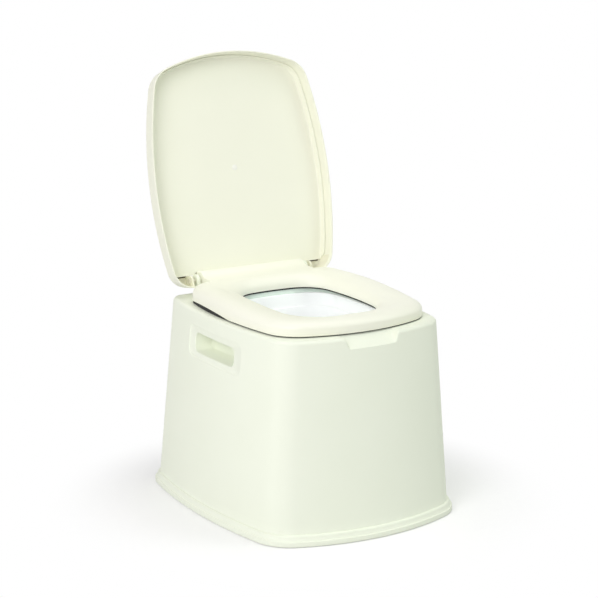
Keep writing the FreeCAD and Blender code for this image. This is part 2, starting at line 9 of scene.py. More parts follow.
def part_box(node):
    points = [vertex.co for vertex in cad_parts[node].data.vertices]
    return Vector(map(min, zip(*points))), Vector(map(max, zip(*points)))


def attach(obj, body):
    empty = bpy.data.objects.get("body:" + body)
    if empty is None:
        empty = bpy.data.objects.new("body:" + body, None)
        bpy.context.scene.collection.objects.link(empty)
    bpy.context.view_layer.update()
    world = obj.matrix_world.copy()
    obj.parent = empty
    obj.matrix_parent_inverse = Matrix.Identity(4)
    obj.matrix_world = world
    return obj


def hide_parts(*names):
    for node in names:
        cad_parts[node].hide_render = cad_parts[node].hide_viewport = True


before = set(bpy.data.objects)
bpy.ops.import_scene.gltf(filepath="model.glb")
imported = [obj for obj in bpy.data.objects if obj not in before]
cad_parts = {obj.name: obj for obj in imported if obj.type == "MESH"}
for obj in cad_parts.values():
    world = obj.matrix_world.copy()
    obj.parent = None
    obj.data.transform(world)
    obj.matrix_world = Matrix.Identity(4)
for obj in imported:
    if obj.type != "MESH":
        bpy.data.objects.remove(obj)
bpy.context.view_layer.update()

print("frame loaded:", len(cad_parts), "nodes")

# Everything is in metres: the front faces -Y, +Z is up, and the floor is z = 0
hinge = {"y": 0.187, "z": 0.359, "openAngle": 104.0}
# where the middle point of a rounded edge lies, as a share of the edge
softShare = 0.3


# Outlines: rounded rectangles with bowed sides, tangent all round

def bowRadius(chord, bow):
    return (chord ** 2 / 4 + bow ** 2) / (2 * bow)


def meetPoint(centreA, radiusA, centreB, radiusB, near):
    # the crossing of two circles that lies nearer to a point
    across = centreB - centreA
    gap = np.hypot(*across)
    along = (radiusA ** 2 - radiusB ** 2 + gap ** 2) / (2 * gap)
    aside = math.sqrt(max(radiusA ** 2 - along ** 2, 0.0))
    foot = centreA + across * along / gap
    offset = np.array((-across[1], across[0])) * aside / gap
    return min((foot + offset, foot - offset), key=lambda point: np.hypot(*(point - near)))


def outlineArcs(shape):
    # centre, radius, first and last angle of eight arcs, from the front round by the right
    bowFront, bowSide, bowBack = shape["bows"]
    cornerFront, cornerBack = shape["corners"]
    half = shape["width"] / 2 - bowSide
    low = shape["front"] + bowFront
    high = shape["back"] - bowBack
    radii = [bowRadius(2 * half, bowFront), bowRadius(high - low, bowSide), bowRadius(2 * half, bowBack)]
    radii.append(radii[1])
    reach = shape["width"] / 2 - radii[1]
    middle = (low + high) / 2 + shape.get("belly", 0.0)
    centres = [np.array(point) for point in ((0, shape["front"] + radii[0]), (reach, middle),
                                             (0, shape["back"] - radii[2]), (-reach, middle))]
    sharp = ((half, low, cornerFront), (half, high, cornerBack),
             (-half, high, cornerBack), (-half, low, cornerFront))
    rounds = []
    for index, (x, y, radius) in enumerate(sharp):
        after = (index + 1) % 4
        rounds.append((meetPoint(centres[index], radii[index] - radius, centres[after],
                                 radii[after] - radius, np.array((x, y))), radius))
    arcs = []
    last = -math.pi

    def turn(vector):
        # the vector's angle, unwrapped to follow the one before
        angle = math.atan2(vector[1], vector[0])
        while angle < last - 0.01:
            angle += 2 * math.pi
        return angle

    for index in range(4):
        after = (index + 1) % 4
        start = turn(rounds[index - 1][0] - centres[index])
        last = start
        end = turn(rounds[index][0] - centres[index])
        last = end
        arcs.append((centres[index], radii[index], start, end))
        bend = turn(rounds[index][0] - centres[after])
        last = bend
        arcs.append((*rounds[index], end, bend))
    return arcs


def evenStops(front, corner, side, back):
    counts = (front, corner, side, corner, back, corner, side, corner)
    return [np.linspace(0, 1, count, endpoint=False) for count in counts]


def ringPoints(shape, inset, stops):
    points = []
    for (centre, radius, start, end), fractions in zip(outlineArcs(shape), stops):
        angles = start + (end - start) * fractions
        spokes = np.stack((np.cos(angles), np.sin(angles)), 1)
        points.append(centre + (radius - inset) * spokes)
    return np.concatenate(points)


def atHeight(points, z):
    return np.column_stack((points, np.full(len(points), z)))


def quarter(run, rise, steps):
    # insets and rises along a quarter of an ellipse, from upright to level
    angles = np.linspace(0, math.pi / 2, steps + 1)
    return [(run * (1 - math.cos(angle)), rise * math.sin(angle)) for angle in angles]


def pick(form, *names):
    return [form[name] for name in names]


def arcLine(x, y, radius, first, last, count):
    turns = np.linspace(first, last, count)
    return [(x + radius * math.cos(turn), y + radius * math.sin(turn)) for turn in turns]


def eased(share):
    # a share from 0 to 1, with level ends
    share = np.clip(share, 0, 1)
    return share * share * (3 - 2 * share)


# Meshes

def meshOf(name, points, faces):
    mesh = bpy.data.meshes.new(name)
    mesh.from_pydata([tuple(point) for point in points], [], [tuple(face) for face in faces])
    mesh.validate()
    mesh.update()
    return mesh


def bridgeFaces(rowCount, width, closed):
    faces = []
    for low in range(rowCount if closed else rowCount - 1):
        high = (low + 1) % rowCount
        for column in range(width):
            right = (column + 1) % width
            faces.append((low * width + column, low * width + right,
                          high * width + right, high * width + column))
    return faces


def sweptMesh(name, rows, closed=False):
    # quads between rows of equal length, closed on themselves or capped at both ends
    width = len(rows[0])
    faces = bridgeFaces(len(rows), width, closed)
    if not closed:
        faces.append(list(range(width))[::-1])
        faces.append([(len(rows) - 1) * width + column for column in range(width)])
    return meshOf(name, np.concatenate(rows), faces)


def boxMesh(name, low, high):
    corners = [(x, y, z) for x in (low[0], high[0]) for y in (low[1], high[1]) for z in (low[2], high[2])]
    faces = ((0, 1, 3, 2), (4, 6, 7, 5), (0, 4, 5, 1), (2, 3, 7, 6), (0, 2, 6, 4), (1, 5, 7, 3))
    return meshOf(name, corners, faces)


def linkedObject(name, data):
    made = bpy.data.objects.new(name, data)
    bpy.context.scene.collection.objects.link(made)
    return made


def plainMesh(source):
    # the evaluated mesh of a working object, which is then removed
    bpy.context.view_layer.update()
    mesh = bpy.data.meshes.new_from_object(source.evaluated_get(bpy.context.evaluated_depsgraph_get()))
    bpy.data.objects.remove(source)
    return mesh


def plateMesh(name, outer, hole, x0, x1, edge):
    # plate across X over a closed y, z line, with a round hole or none, and rounded edges
    curve = bpy.data.curves.new(name, "CURVE")
    curve.dimensions = "2D"
    curve.fill_mode = "BOTH"
    loops = [outer]
    if hole:
        loops.append(arcLine(*hole, 0, 2 * math.pi, 41)[:-1])
    for loop in loops:
        spline = curve.splines.new("POLY")
        spline.points.add(len(loop) - 1)
        for point, (y, z) in zip(spline.points, loop):
            point.co = (y, z, 0, 1)
        spline.use_cyclic_u = True
    curve.extrude = (x1 - x0) / 2 - edge
    curve.bevel_depth = edge
    curve.bevel_resolution = 2
    curve.offset = -edge
    mesh = plainMesh(linkedObject(name, curve))
    mesh.transform(Matrix(((0, 0, 1, (x0 + x1) / 2), (1, 0, 0, 0), (0, 1, 0, 0), (0, 0, 0, 1))))
    return mended(mesh)


def mended(mesh, gap=1e-6):
    # doubles merged and normals turned outwards
    work = bmesh.new()
    work.from_mesh(mesh)
    bmesh.ops.remove_doubles(work, verts=work.verts, dist=gap)
    bmesh.ops.recalc_face_normals(work, faces=work.faces)
    work.to_mesh(mesh)
    work.free()
    return mesh


def mirroredMesh(mesh):
    twin = mesh.copy()
    twin.transform(Matrix.Diagonal((-1, 1, 1, 1)))
    twin.flip_normals()
    return twin


def combined(mesh, others, operation):
    # one mesh cut by the others, or joined with them
    work = linkedObject("work", mesh)
    tools = [linkedObject("tool", other) for other in others]
    for tool in tools:
        modifier = work.modifiers.new("combine", "BOOLEAN")
        modifier.operation = operation
        modifier.solver = "EXACT"
        modifier.object = tool
    result = plainMesh(work)
    for tool in tools:
        bpy.data.objects.remove(tool)
    return mended(result, 1e-5)


def joinedMesh(name, meshes):
    work = bmesh.new()
    for mesh in meshes:
        work.from_mesh(mesh)
    result = bpy.data.meshes.new(name)
    work.to_mesh(result)
    work.free()
    return result


def finishPiece(name, mesh, material, body, replaced=(), sharpAngle=34.0, others=()):
    for face in mesh.polygons:
        face.use_smooth = True
    mesh.set_sharp_from_angle(angle=math.radians(sharpAngle))
    mesh.materials.clear()
    mesh.materials.append(material)
    for number, (other, faces) in enumerate(others, 1):
        # another finish on the faces named with it
        mesh.materials.append(other)
        for index in faces:
            mesh.polygons[index].material_index = number
    mesh.name = name
    piece = linkedObject(name, mesh)
    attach(piece, body)
    if replaced:
        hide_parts(*replaced)
    return piece


# Finishes

def nodeMaterial(name):
    material = bpy.data.materials.new(name)
    material.use_nodes = True
    tree = material.node_tree
    return material, tree.nodes, tree.links, tree.nodes["Principled BSDF"]


def setInputs(node, values):
    for name, value in values.items():
        node.inputs[name].default_value = value
    return node


def noiseNode(nodes, links, scale, detail, roughness=0.5):
    place = nodes.new("ShaderNodeTexCoord")
    noise = setInputs(nodes.new("ShaderNodeTexNoise"),
                      {"Scale": scale, "Detail": detail, "Roughness": roughness})
    links.new(place.outputs["Object"], noise.inputs["Vector"])
    return noise.outputs["Fac"]


def rangeNode(nodes, links, source, low, high):
    # spreads the middle of a noise over a range
    spread = setInputs(nodes.new("ShaderNodeMapRange"),
                       {"From Min": 0.3, "From Max": 0.7, "To Min": low, "To Max": high})
    links.new(source, spread.inputs["Value"])
    return spread.outputs["Result"]


def cloudyTone(nodes, links, shader, look, detail=3):
    tone = rangeNode(nodes, links, noiseNode(nodes, links, look["cloudScale"], detail), 0, 1)
    mix = nodes.new("ShaderNodeMix")
    mix.data_type = "RGBA"
    setInputs(mix, {"A": (*look["deep"], 1), "B": (*look["pale"], 1)})
    links.new(tone, mix.inputs["Factor"])
    links.new(mix.outputs["Result"], shader.inputs["Base Color"])


def mixedShader(nodes, links, share, first, second):
    mix = nodes.new("ShaderNodeMixShader")
    for source, socket in zip((share, first, second), mix.inputs):
        links.new(source, socket)
    return mix.outputs[0]


def mouldedPlastic(name, changes):
    # cloudy tone, fine grain of the mould's skin, and a gloss that varies with the grain
    look = {**usualFinish, **changes}
    material, nodes, links, shader = nodeMaterial(name)
    cloudyTone(nodes, links, shader, look)
    grain = noiseNode(nodes, links, look["grainScale"], 2, 0.6)
    links.new(rangeNode(nodes, links, grain, *look["roughness"]), shader.inputs["Roughness"])
    bump = setInputs(nodes.new("ShaderNodeBump"),
                     {"Strength": look["grainStrength"], "Distance": look["grainDepth"]})
    links.new(grain, bump.inputs["Height"])
    links.new(bump.outputs["Normal"], shader.inputs["Normal"])
    setInputs(shader, {"IOR": plasticIor, "Specular IOR Level": look["specular"]})
    if "paintedGlow" in look:
        # painted light: the pale plastic glows a little, which brightens the pail's shaded inside
        setInputs(shader, {"Emission Color": (*look["pale"], 1), "Emission Strength": look["paintedGlow"]})
    return material


plasticIor = 1.5
usualFinish = {"cloudScale": 60, "grainScale": 1300, "grainStrength": 0.25, "grainDepth": 0.00015,
               "specular": 0.3}
finishes = {
    "bodyIvory": {"deep": (0.876, 0.912, 0.778), "pale": (0.888, 0.922, 0.794), "cloudScale": 9,
                  "grainScale": 1500, "grainStrength": 0.35, "grainDepth": 0.0002,
                  "roughness": (0.48, 0.62)},
    "seatIvory": {"deep": (0.918, 0.920, 0.795), "pale": (0.928, 0.930, 0.806), "cloudScale": 8,
                  "grainScale": 900, "grainStrength": 0.12, "grainDepth": 0.0001,
                  "roughness": (0.34, 0.44), "specular": 0.35},
    "lidIvory": {"deep": (0.908, 0.912, 0.775), "pale": (0.918, 0.922, 0.788), "cloudScale": 8,
                 "roughness": (0.42, 0.55)},
    # the pail's finish glows a little: painted light
    "pailWhite": {"deep": (0.958, 0.978, 0.976), "pale": (0.966, 0.984, 0.982), "cloudScale": 16,
                  "grainScale": 700, "grainStrength": 0.05, "grainDepth": 0.0001,
                  "roughness": (0.26, 0.34), "specular": 0.12, "paintedGlow": 0.075},
    # painted shade: a darker, greener copy of the pail's white for its upper band under the seat
    "lipPaintedShade": {"deep": (0.77, 0.88, 0.80), "pale": (0.80, 0.90, 0.83), "cloudScale": 16,
                 "grainScale": 700, "grainStrength": 0.05, "grainDepth": 0.0001,
                 "roughness": (0.26, 0.34), "specular": 0.4},
    "pinPlastic": {"deep": (0.68, 0.66, 0.53), "pale": (0.74, 0.72, 0.59), "cloudScale": 90,
                   "grainScale": 2500, "grainStrength": 0.1, "grainDepth": 0.0001,
                   "roughness": (0.3, 0.42), "specular": 0.5},
    # painted shade for the lid's hinge trough
    "troughPaintedShade": {"deep": (0.83, 0.82, 0.66), "pale": (0.86, 0.85, 0.69), "roughness": (0.5, 0.62)},
    "markPale": {"deep": (0.912, 0.912, 0.835), "pale": (0.922, 0.922, 0.848),
                 "grainStrength": 0.15, "grainDepth": 0.0001, "roughness": (0.36, 0.46)},
    # painted shadow for the line along the liner's end
    "paintedEdgeShadow": {"deep": (0.10, 0.085, 0.055), "pale": (0.15, 0.13, 0.09), "cloudScale": 90,
                  "roughness": (0.6, 0.7), "specular": 0.2},
    # black rubber for the feet and bumpers, also used for the painted shadow strips in the seat's gaps
    "blackRubberAndShadow": {"deep": (0.018, 0.018, 0.018), "pale": (0.035, 0.035, 0.034), "cloudScale": 120,
                   "grainScale": 3000, "grainStrength": 0.4, "grainDepth": 0.0002, "roughness": (0.7, 0.85)},
}
plastics = {name: mouldedPlastic(name, look) for name, look in finishes.items()}
wireLook = {"deep": (0.55, 0.56, 0.57), "pale": (0.70, 0.70, 0.69), "cloudScale": 60, "drawnScale": 800,
            "roughness": (0.22, 0.42)}


def zincFinish(name):
    material, nodes, links, shader = nodeMaterial(name)
    drawn = noiseNode(nodes, links, wireLook["drawnScale"], 4, 0.7)
    links.new(rangeNode(nodes, links, drawn, *wireLook["roughness"]), shader.inputs["Roughness"])
    cloudyTone(nodes, links, shader, wireLook)
    shader.inputs["Metallic"].default_value = 1.0
    return material


zincWire = zincFinish("zincWire")
print("finishes made")


# Body: a tapered shell with a stepped flange, hand-holds in its sides and a finger notch in front

bodyForm = {
    "base": {"width": 0.410, "front": -0.240, "back": 0.240,
             "bows": (0.046, 0.0245, 0.004), "corners": (0.070, 0.052)},
    "top": {"width": 0.342, "front": -0.208, "back": 0.211,
            "bows": (0.029, 0.019, 0.004), "corners": (0.050, 0.036)},
    "floorGap": 0.001, "skirtTop": 0.010, "tierStep": 0.0025, "tierDraft": 0.0015, "tierRound": 0.0035,
    "wallLow": 0.019, "wallStep": 0.009, "deck": 0.334, "topRound": 0.006, "wall": 0.003, "deckWall": 0.0035,
    "edge": 0.0012, "fine": 0.0005, "collarDepth": 0.012,
    "swingReach": 0.0194, "swingAngle": 199.0, "swingStart": 0.006,
    "deckBand": 0.030, "deckInsets": (0.008, 0.011, 0.014, 0.017, 0.0195, 0.0212), "underBend": 0.004,
    "tierEdge": ((-0.0008, 0), (-0.0002, 0.0003)), "bandInsets": (0.0228, 0.026),
    "deckShares": (0.2, 0.45, 0.7, 0.9), "underShares": (0.75, 0.5, 0.25),
    "underInsets": (0.026, 0.022, 0.018, 0.014, 0.010),
    "cornerColumns": 14, "sideColumns": 60, "backColumns": 34, "frontColumns": 14, "floorColumns": 18,
}
pailForm = {
    "mouth": {"width": 0.216, "front": -0.133, "back": 0.115,
              "bows": (0.014, 0.010, 0.009), "corners": (0.066, 0.056)},
    "wall": 0.0024, "depth": 0.262, "draft": 0.022, "rimTop": 0.337, "rimWidth": 0.013,
    "rimThickness": 0.003, "lipTop": 0.3405, "rebateDepth": 0.008, "rebate": 0.003,
    "stepDepth": 0.027, "step": 0.002,
    "floorRound": 0.014, "play": 0.002, "lipRound": 0.0009, "rimRound": 0.0012,
    "bailY": -0.009, "earRadius": 0.0065, "earOuter": 0.120, "earThickness": 0.004,
    "earRoot": 0.001, "earEdge": 0.0006,
}
notch = {"topHalf": 0.0520, "bottomHalf": 0.0445, "bottom": 0.315, "backInset": 0.022,
         "edgeRound": 0.0014, "floorRound": 0.0030, "sideSteps": 6}
hold = {"y": 0.012, "z": 0.283, "length": 0.130, "height": 0.032, "corner": 0.010, "floorX": 0.137,
        "frameLength": 0.172, "frameHeight": 0.052, "frameCorner": 0.013, "frameDepth": 0.0012,
        "frameEdge": ((0.0012, 0.0), (0.0005, 0.0001), (0.0001, 0.0004), (-0.0002, 0.0009),
                      (-0.0008, 0.0012)),
        "edgeRound": 0.0022, "floorRound": 0.006, "draft": 0.001,
        "patchLow": 0.247, "patchHigh": 0.3135, "patchMargin": 0.009, "cornerSteps": 4,
        "tableMargin": 0.005, "tableReach": 0.11, "tableSteps": (24, 90)}


def frontTargets(reach, half):
    # places across the front: plain, then close-set at each side of the notch, then its floor
    edge, floor = pick(notch, "edgeRound", "floorRound")
    sideSet = [half + edge, half + softShare * edge, half, half - softShare * floor,
               half - 2 * softShare * floor, half - floor]
    left = np.linspace(-reach, -sideSet[0], bodyForm["frontColumns"], endpoint=False)
    middle = np.linspace(-sideSet[-1], sideSet[-1], bodyForm["floorColumns"] + 1)[1:-1]
    right = np.linspace(sideSet[0], reach, bodyForm["frontColumns"] + 1)[1:-1]
    return np.concatenate((left, [-x for x in sideSet], middle, sideSet[::-1], right))


def notchHalf(z):
    share = np.clip((z - notch["bottom"]) / (bodyForm["deck"] - notch["bottom"]), 0, 1)
    return notch["bottomHalf"] + (notch["topHalf"] - notch["bottomHalf"]) * share


def bodyStops(share, baseInset, topInset, z):
    # fractions along each arc, with the front's set by the places across it
    dense = np.linspace(0, 1, 400)
    spread = []
    for shape, inset in ((bodyForm["base"], baseInset), (bodyForm["top"], topInset)):
        _, radius, start, end = outlineArcs(shape)[0]
        spread.append((radius - inset) * np.cos(start + (end - start) * dense))
    across = spread[0] * (1 - share) + spread[1] * share
    stops = evenStops(1, bodyForm["cornerColumns"], bodyForm["sideColumns"], bodyForm["backColumns"])
    stops[0] = np.interp(frontTargets(across[-1], notchHalf(z)), across, dense)
    return stops


def bodyRow(share, baseInset, topInset, z):
    stops = bodyStops(share, baseInset, topInset, z)
    low = ringPoints(bodyForm["base"], baseInset, stops)
    high = ringPoints(bodyForm["top"], topInset, stops)
    return atHeight(low * (1 - share) + high * share, z)


def flangeRow(inset, z):
    return bodyRow(0, inset, 0, z)


def wallRow(z, inset=0.0):
    share = (z - bodyForm["wallLow"]) / (bodyForm["deck"] - bodyForm["topRound"] - bodyForm["wallLow"])
    return bodyRow(share, bodyForm["wallStep"] + inset, inset, z)


def deckRow(inset, z):
    return bodyRow(1, 0, inset, z)


def pailRow(share, deckInset, outset, z):
    # between the deck's outline and the pail's
    stops = bodyStops(1, 0, deckInset, z)
    outer = ringPoints(bodyForm["top"], deckInset, stops)
    inner = ringPoints(pailForm["mouth"], -outset, stops)
    return atHeight(outer * (1 - share) + inner * share, z)


def carveNotch(rows, first, last):
    # the columns between the notch's sides drop from the skin to a sloping floor
    edge, floor = pick(notch, "edgeRound", "floorRound")
    start, sides = bodyForm["frontColumns"], notch["sideSteps"]
    stop = start + 2 * sides + bodyForm["floorColumns"] - 1
    middle = (start + stop) // 2
    steps = [np.linalg.norm(rows[j + 1][middle] - rows[j][middle]) for j in range(first, last)]
    travel = np.concatenate(([0], np.cumsum(steps))) / sum(steps)
    lowEnd, highEnd = rows[first].copy(), rows[last].copy()
    for index in range(first + 1, last):
        target = lowEnd + (highEnd - lowEnd) * travel[index - first]
        depth = np.linalg.norm(target[middle] - rows[index][middle])
        upper = min(edge / depth, 0.45)
        lower = min(floor / depth, 0.5)
        sideDrop = [0, softShare * upper, upper, 1 - lower, 1 - softShare * lower, 1]
        drops = np.ones(stop - start)
        drops[:sides] = sideDrop
        drops[-sides:] = sideDrop[::-1]
        skin = rows[index][start:stop]
        rows[index][start:stop] = skin + drops[:, None] * (target[start:stop] - skin)


def roundedLoop(length, height, corner, across, up):
    # points of a rounded rectangle, matched to a border of so many steps across and up
    steps = hold["cornerSteps"]
    points = []
    sides = ((across, length / 2, height / 2), (up, height / 2, length / 2)) * 2
    for quarterTurn, (count, halfA, halfB) in enumerate(sides):
        angles = np.linspace(-math.pi * 0.75, -math.pi / 2, steps, endpoint=False)
        reach, base = halfA - corner, corner - halfB
        side = [(corner * math.cos(a) - reach, base + corner * math.sin(a)) for a in angles]
        side += [(a, -halfB) for a in np.linspace(-reach, reach, count - 2 * steps, endpoint=False)]
        angles = np.linspace(-math.pi / 2, -math.pi / 4, steps, endpoint=False)
        side += [(corner * math.cos(a) + reach, base + corner * math.sin(a)) for a in angles]
        cosine, sine = math.cos(quarterTurn * math.pi / 2), math.sin(quarterTurn * math.pi / 2)
        points += [(a * cosine - b * sine, a * sine + b * cosine) for a, b in side]
    return np.array(points)


def sideStart(side):
    # first column of the right or the left wall
    skip = bodyForm["sideColumns"] + 2 * bodyForm["cornerColumns"] + bodyForm["backColumns"]
    return frontCount + bodyForm["cornerColumns"] + (0 if side > 0 else skip)


def sideReach(side, y, z, inset):
    # how far out the wall stands at a place on the left or right
    start = sideStart(side)
    part = wallRow(z, inset)[start:start + bodyForm["sideColumns"]]
    order = np.argsort(part[:, 1])
    return np.interp(y, part[order, 1], np.abs(part[order, 0]))


frontCount = 2 * (bodyForm["frontColumns"] + notch["sideSteps"]) + bodyForm["floorColumns"] - 2
columnCount = (frontCount + 4 * bodyForm["cornerColumns"] + 2 * bodyForm["sideColumns"]
               + bodyForm["backColumns"])
reachCache = {}


def holdLoops(inner):
    # outline, corner and place of each loop from the wall into the pocket
    grow = bodyForm["wall"] if inner else 0.0
    start = 0.0 if inner else hold["frameDepth"]
    edge, bend, floorX = hold["edgeRound"], hold["floorRound"], hold["floorX"] - grow
    loops = []

    def add(size, spread, mode, value):
        length, height, corner = size
        loops.append((length + 2 * spread, height + 2 * spread, max(corner + spread, 0.002), mode, value))

    if not inner:
        frameSize = hold["frameLength"], hold["frameHeight"], hold["frameCorner"]
        for spread, depth in hold["frameEdge"]:
            add(frameSize, spread, "wall", depth)
    size = hold["length"], hold["height"], hold["corner"]
    for run, drop in quarter(edge, edge, 4)[::-1]:
        add(size, grow + run, "wall", start + edge - drop)
    for run, drop in quarter(bend, bend, 5):
        add(size, grow - hold["draft"] - run, "plane", floorX + bend - drop)
    length, height = loops[-1][:2]
    loops.append((length - 0.006, height - 0.006, 0.0015, "plane", floorX))
    return loops


def holdPatch(side, rows, columns, points, faces, inner):
    # replaces a block of the wall's quads by loops that lead into the pocket
    across, up = columns[1] - columns[0], rows[1] - rows[0]
    border = [(rows[0], columns[0] + i) for i in range(across)]
    border += [(rows[0] + i, columns[1]) for i in range(up)]
    border += [(rows[1], columns[1] - i) for i in range(across)]
    border += [(rows[1] - i, columns[0]) for i in range(up)]
    before = [row * columnCount + column for row, column in border]
    skin = bodyForm["wall"] if inner else 0.0
    for length, height, corner, mode, value in holdLoops(inner):
        loop = roundedLoop(length, height, corner, across, up)
        after = []
        for along, rise in loop:
            y = hold["y"] + side * along
            z = hold["z"] + (-rise if inner else rise)
            reach = value if mode == "plane" else sideSurface(side, y, z, skin) - value
            after.append(len(points))
            points.append((side * reach, y, z))
        for index in range(len(before)):
            follow = (index + 1) % len(before)
            faces.append((before[index], before[follow], after[follow], after[index]))
        before = after
    faces.append(before)


def sideSurface(side, y, z, inset):
    # the wall's reach, from a fine table made once for each side and skin
    key = (side, inset)
    if key not in reachCache:
        margin, span, (up, along) = hold["tableMargin"], hold["tableReach"], hold["tableSteps"]
        heights = np.linspace(hold["patchLow"] - margin, hold["patchHigh"] + margin, up)
        depths = np.linspace(hold["y"] - span, hold["y"] + span, along)
        table = np.array([sideReach(side, depths, height, inset) for height in heights])
        reachCache[key] = (heights, depths, table)
    heights, depths, table = reachCache[key]
    column = [np.interp(y, depths, line) for line in table]
    return float(np.interp(z, heights, column))


def patchColumns(row, side):
    start = sideStart(side)
    reach = hold["frameLength"] / 2 + hold["patchMargin"]
    found = [column for column in range(start, start + bodyForm["sideColumns"])
             if abs(row[column][1] - hold["y"]) <= reach]
    return found[0], found[-1]


def clearOfLid(rows, grow):
    # the back edge slopes off to leave room for the lid swung right over
    turn = math.radians(bodyForm["swingAngle"])
    for row in rows:
        behind = row[:, 1] - hinge["y"]
        limit = hinge["z"] + (bodyForm["swingReach"] + grow - behind * math.sin(turn)) / math.cos(turn)
        row[:, 2] = np.where(behind > bodyForm["swingStart"], np.minimum(row[:, 2], limit), row[:, 2])


def bodySkin():
    # rows from the flange's foot, up the outside, over the deck and down the inside
    edge, wall, fine, band = pick(bodyForm, "edge", "wall", "fine", "deckBand")
    deck, topRound, bend = pick(bodyForm, "deck", "topRound", "underBend")
    skirtTop, tierTop, wallStep = pick(bodyForm, "skirtTop", "wallLow", "wallStep")
    tierStep, tierRound = pick(bodyForm, "tierStep", "tierRound")
    tierInset, foot = tierStep + bodyForm["tierDraft"], bodyForm["floorGap"] + edge
    edgeArc, tierArc = quarter(edge, edge, 3), quarter(tierRound, tierRound, 5)
    rows = [flangeRow(run, foot - rise) for run, rise in edgeArc[::-1]]
    rows += [flangeRow(run, skirtTop - edge + rise) for run, rise in edgeArc]
    rows += [flangeRow(tierStep - fine, skirtTop), flangeRow(tierStep, skirtTop + fine)]
    rows += [flangeRow(tierInset + run, tierTop - tierRound + rise) for run, rise in tierArc]
    rows += [flangeRow(wallStep + run, tierTop + rise) for run, rise in bodyForm["tierEdge"]]
    rows += [wallRow(z) for z in np.linspace(tierTop + 0.001, hold["patchLow"], 17)]
    firstPatch = len(rows) - 1
    rows += [wallRow(z) for z in np.linspace(hold["patchLow"], hold["patchHigh"], 14)[1:]]
    lastPatch = len(rows) - 1
    notchFirst = len(rows) + 1
    rows += [wallRow(notch["bottom"] + rise) for rise in (-fine, 0, 0.0006)]
    rows += [wallRow(z) for z in np.linspace(notch["bottom"] + 0.002, deck - topRound, 7)[:-1]]
    rows += [deckRow(run, deck - topRound + rise) for run, rise in quarter(topRound, topRound, 8)]
    rows += [deckRow(inset, deck) for inset in bodyForm["deckInsets"]]
    notchLast = len(rows)
    rows += [deckRow(inset, deck) for inset in (notch["backInset"], *bodyForm["bandInsets"], band)]
    outset = pailForm["play"] + pailForm["wall"]
    rows += [pailRow(share, band, outset + edge, deck) for share in bodyForm["deckShares"]]
    rows += [pailRow(1, band, outset + run, deck - edge + rise) for run, rise in edgeArc[::-1]]
    carveNotch(rows, notchFirst, notchLast)
    low, under, far = deck - bodyForm["collarDepth"], deck - bodyForm["deckWall"], outset + wall
    collar = ((outset, low + fine), (outset + fine, low), (far - fine, low), (far, low + fine),
              (far, under - 0.001), (far + 0.001, under))
    rows += [pailRow(1, band, reach, z) for reach, z in collar]
    rows += [pailRow(share, band + bend, far + 0.002, under) for share in bodyForm["underShares"]]
    innerLast = len(rows)
    rows += [deckRow(inset, under) for inset in (band, *bodyForm["underInsets"])]
    rows += [deckRow(wall + run, under - bend + rise) for run, rise in quarter(bend, bend, 4)[::-1]]
    rows += [wallRow(z, wall) for z in np.linspace(deck - topRound - 0.003, notch["bottom"] - 0.004, 5)]
    innerFirst, innerPatchFirst = len(rows) - 1, len(rows)
    rows += [wallRow(z, wall) for z in np.linspace(hold["patchHigh"] - 0.004, hold["patchLow"], 14)]
    innerPatchLast = len(rows) - 1
    rows += [wallRow(z, wall) for z in np.linspace(hold["patchLow"], tierTop + 0.001, 10)[1:]]
    ledge, shelf = tierTop - wall, skirtTop - wall
    steps = ((wallStep + wall, ledge), (tierInset + wall, ledge), (tierInset + wall, shelf), (wall, shelf))
    rows += [flangeRow(inset, z) for inset, z in steps]
    rows += [flangeRow(wall - run, foot - rise) for run, rise in edgeArc]
    reverseNotch(rows, innerLast, innerFirst)
    clearOfLid(rows[:innerLast], 0.0)
    clearOfLid(rows[innerLast:], wall)
    points = [tuple(point) for point in np.concatenate(rows)]
    faces = []
    cut = {}
    for side in (1, -1):
        for first, last, inner in ((firstPatch, lastPatch, False), (innerPatchFirst, innerPatchLast, True)):
            columns = patchColumns(rows[(first + last) // 2], side)
            cut[side, inner] = ((first, last), columns)
    for index, face in enumerate(bridgeFaces(len(rows), columnCount, True)):
        row, column = divmod(index, columnCount)
        if not any(a <= row < b and c <= column < d for (a, b), (c, d) in cut.values()):
            faces.append(face)
    for (side, inner), (rowSpan, columnSpan) in cut.items():
        holdPatch(side, rowSpan, columnSpan, points, faces, inner)
    return meshOf("bodySkin", points, faces)


def reverseNotch(rows, first, last):
    # the same notch on the inner skin, whose rows run downwards
    part = rows[first:last + 1][::-1]
    carveNotch(part, 0, len(part) - 1)
    rows[first:last + 1] = part[::-1]


lugForm = {"inner": 0.106, "thickness": 0.006, "radius": 0.0105, "front": 0.012, "back": 0.0015,
           "bore": 0.00352, "edge": 0.0007, "root": 0.0015}
bossForm = {"radius": 0.013, "bore": 0.0036, "low": 0.003, "height": 0.024, "edge": 0.001}
cornerNames = ("front_left", "front_right", "rear_left", "rear_right")


def hingeLug():
    y, z, radius, inner = hinge["y"], hinge["z"], lugForm["radius"], lugForm["inner"]
    low = bodyForm["deck"] - lugForm["root"]
    line = [(y - lugForm["front"], low), (y + lugForm["back"], low)]
    line += arcLine(y, z, radius, -math.acos(lugForm["back"] / radius), math.pi, 30)
    return plateMesh("hingeLug", line, (y, z, lugForm["bore"]), inner, inner + lugForm["thickness"],
                     lugForm["edge"])


def lathe(name, profile, x, y, segments=36):
    # closed profile of radius, z points turned about an upright axis
    turns = np.linspace(0, 2 * math.pi, segments, endpoint=False)
    spokes = np.stack((np.cos(turns), np.sin(turns)), 1)
    rows = [atHeight((x, y) + radius * spokes, z) for radius, z in profile]
    return sweptMesh(name, rows, closed=True)


def boxMiddle(box):
    low, high = box
    return ((low + high) / 2)[:2]


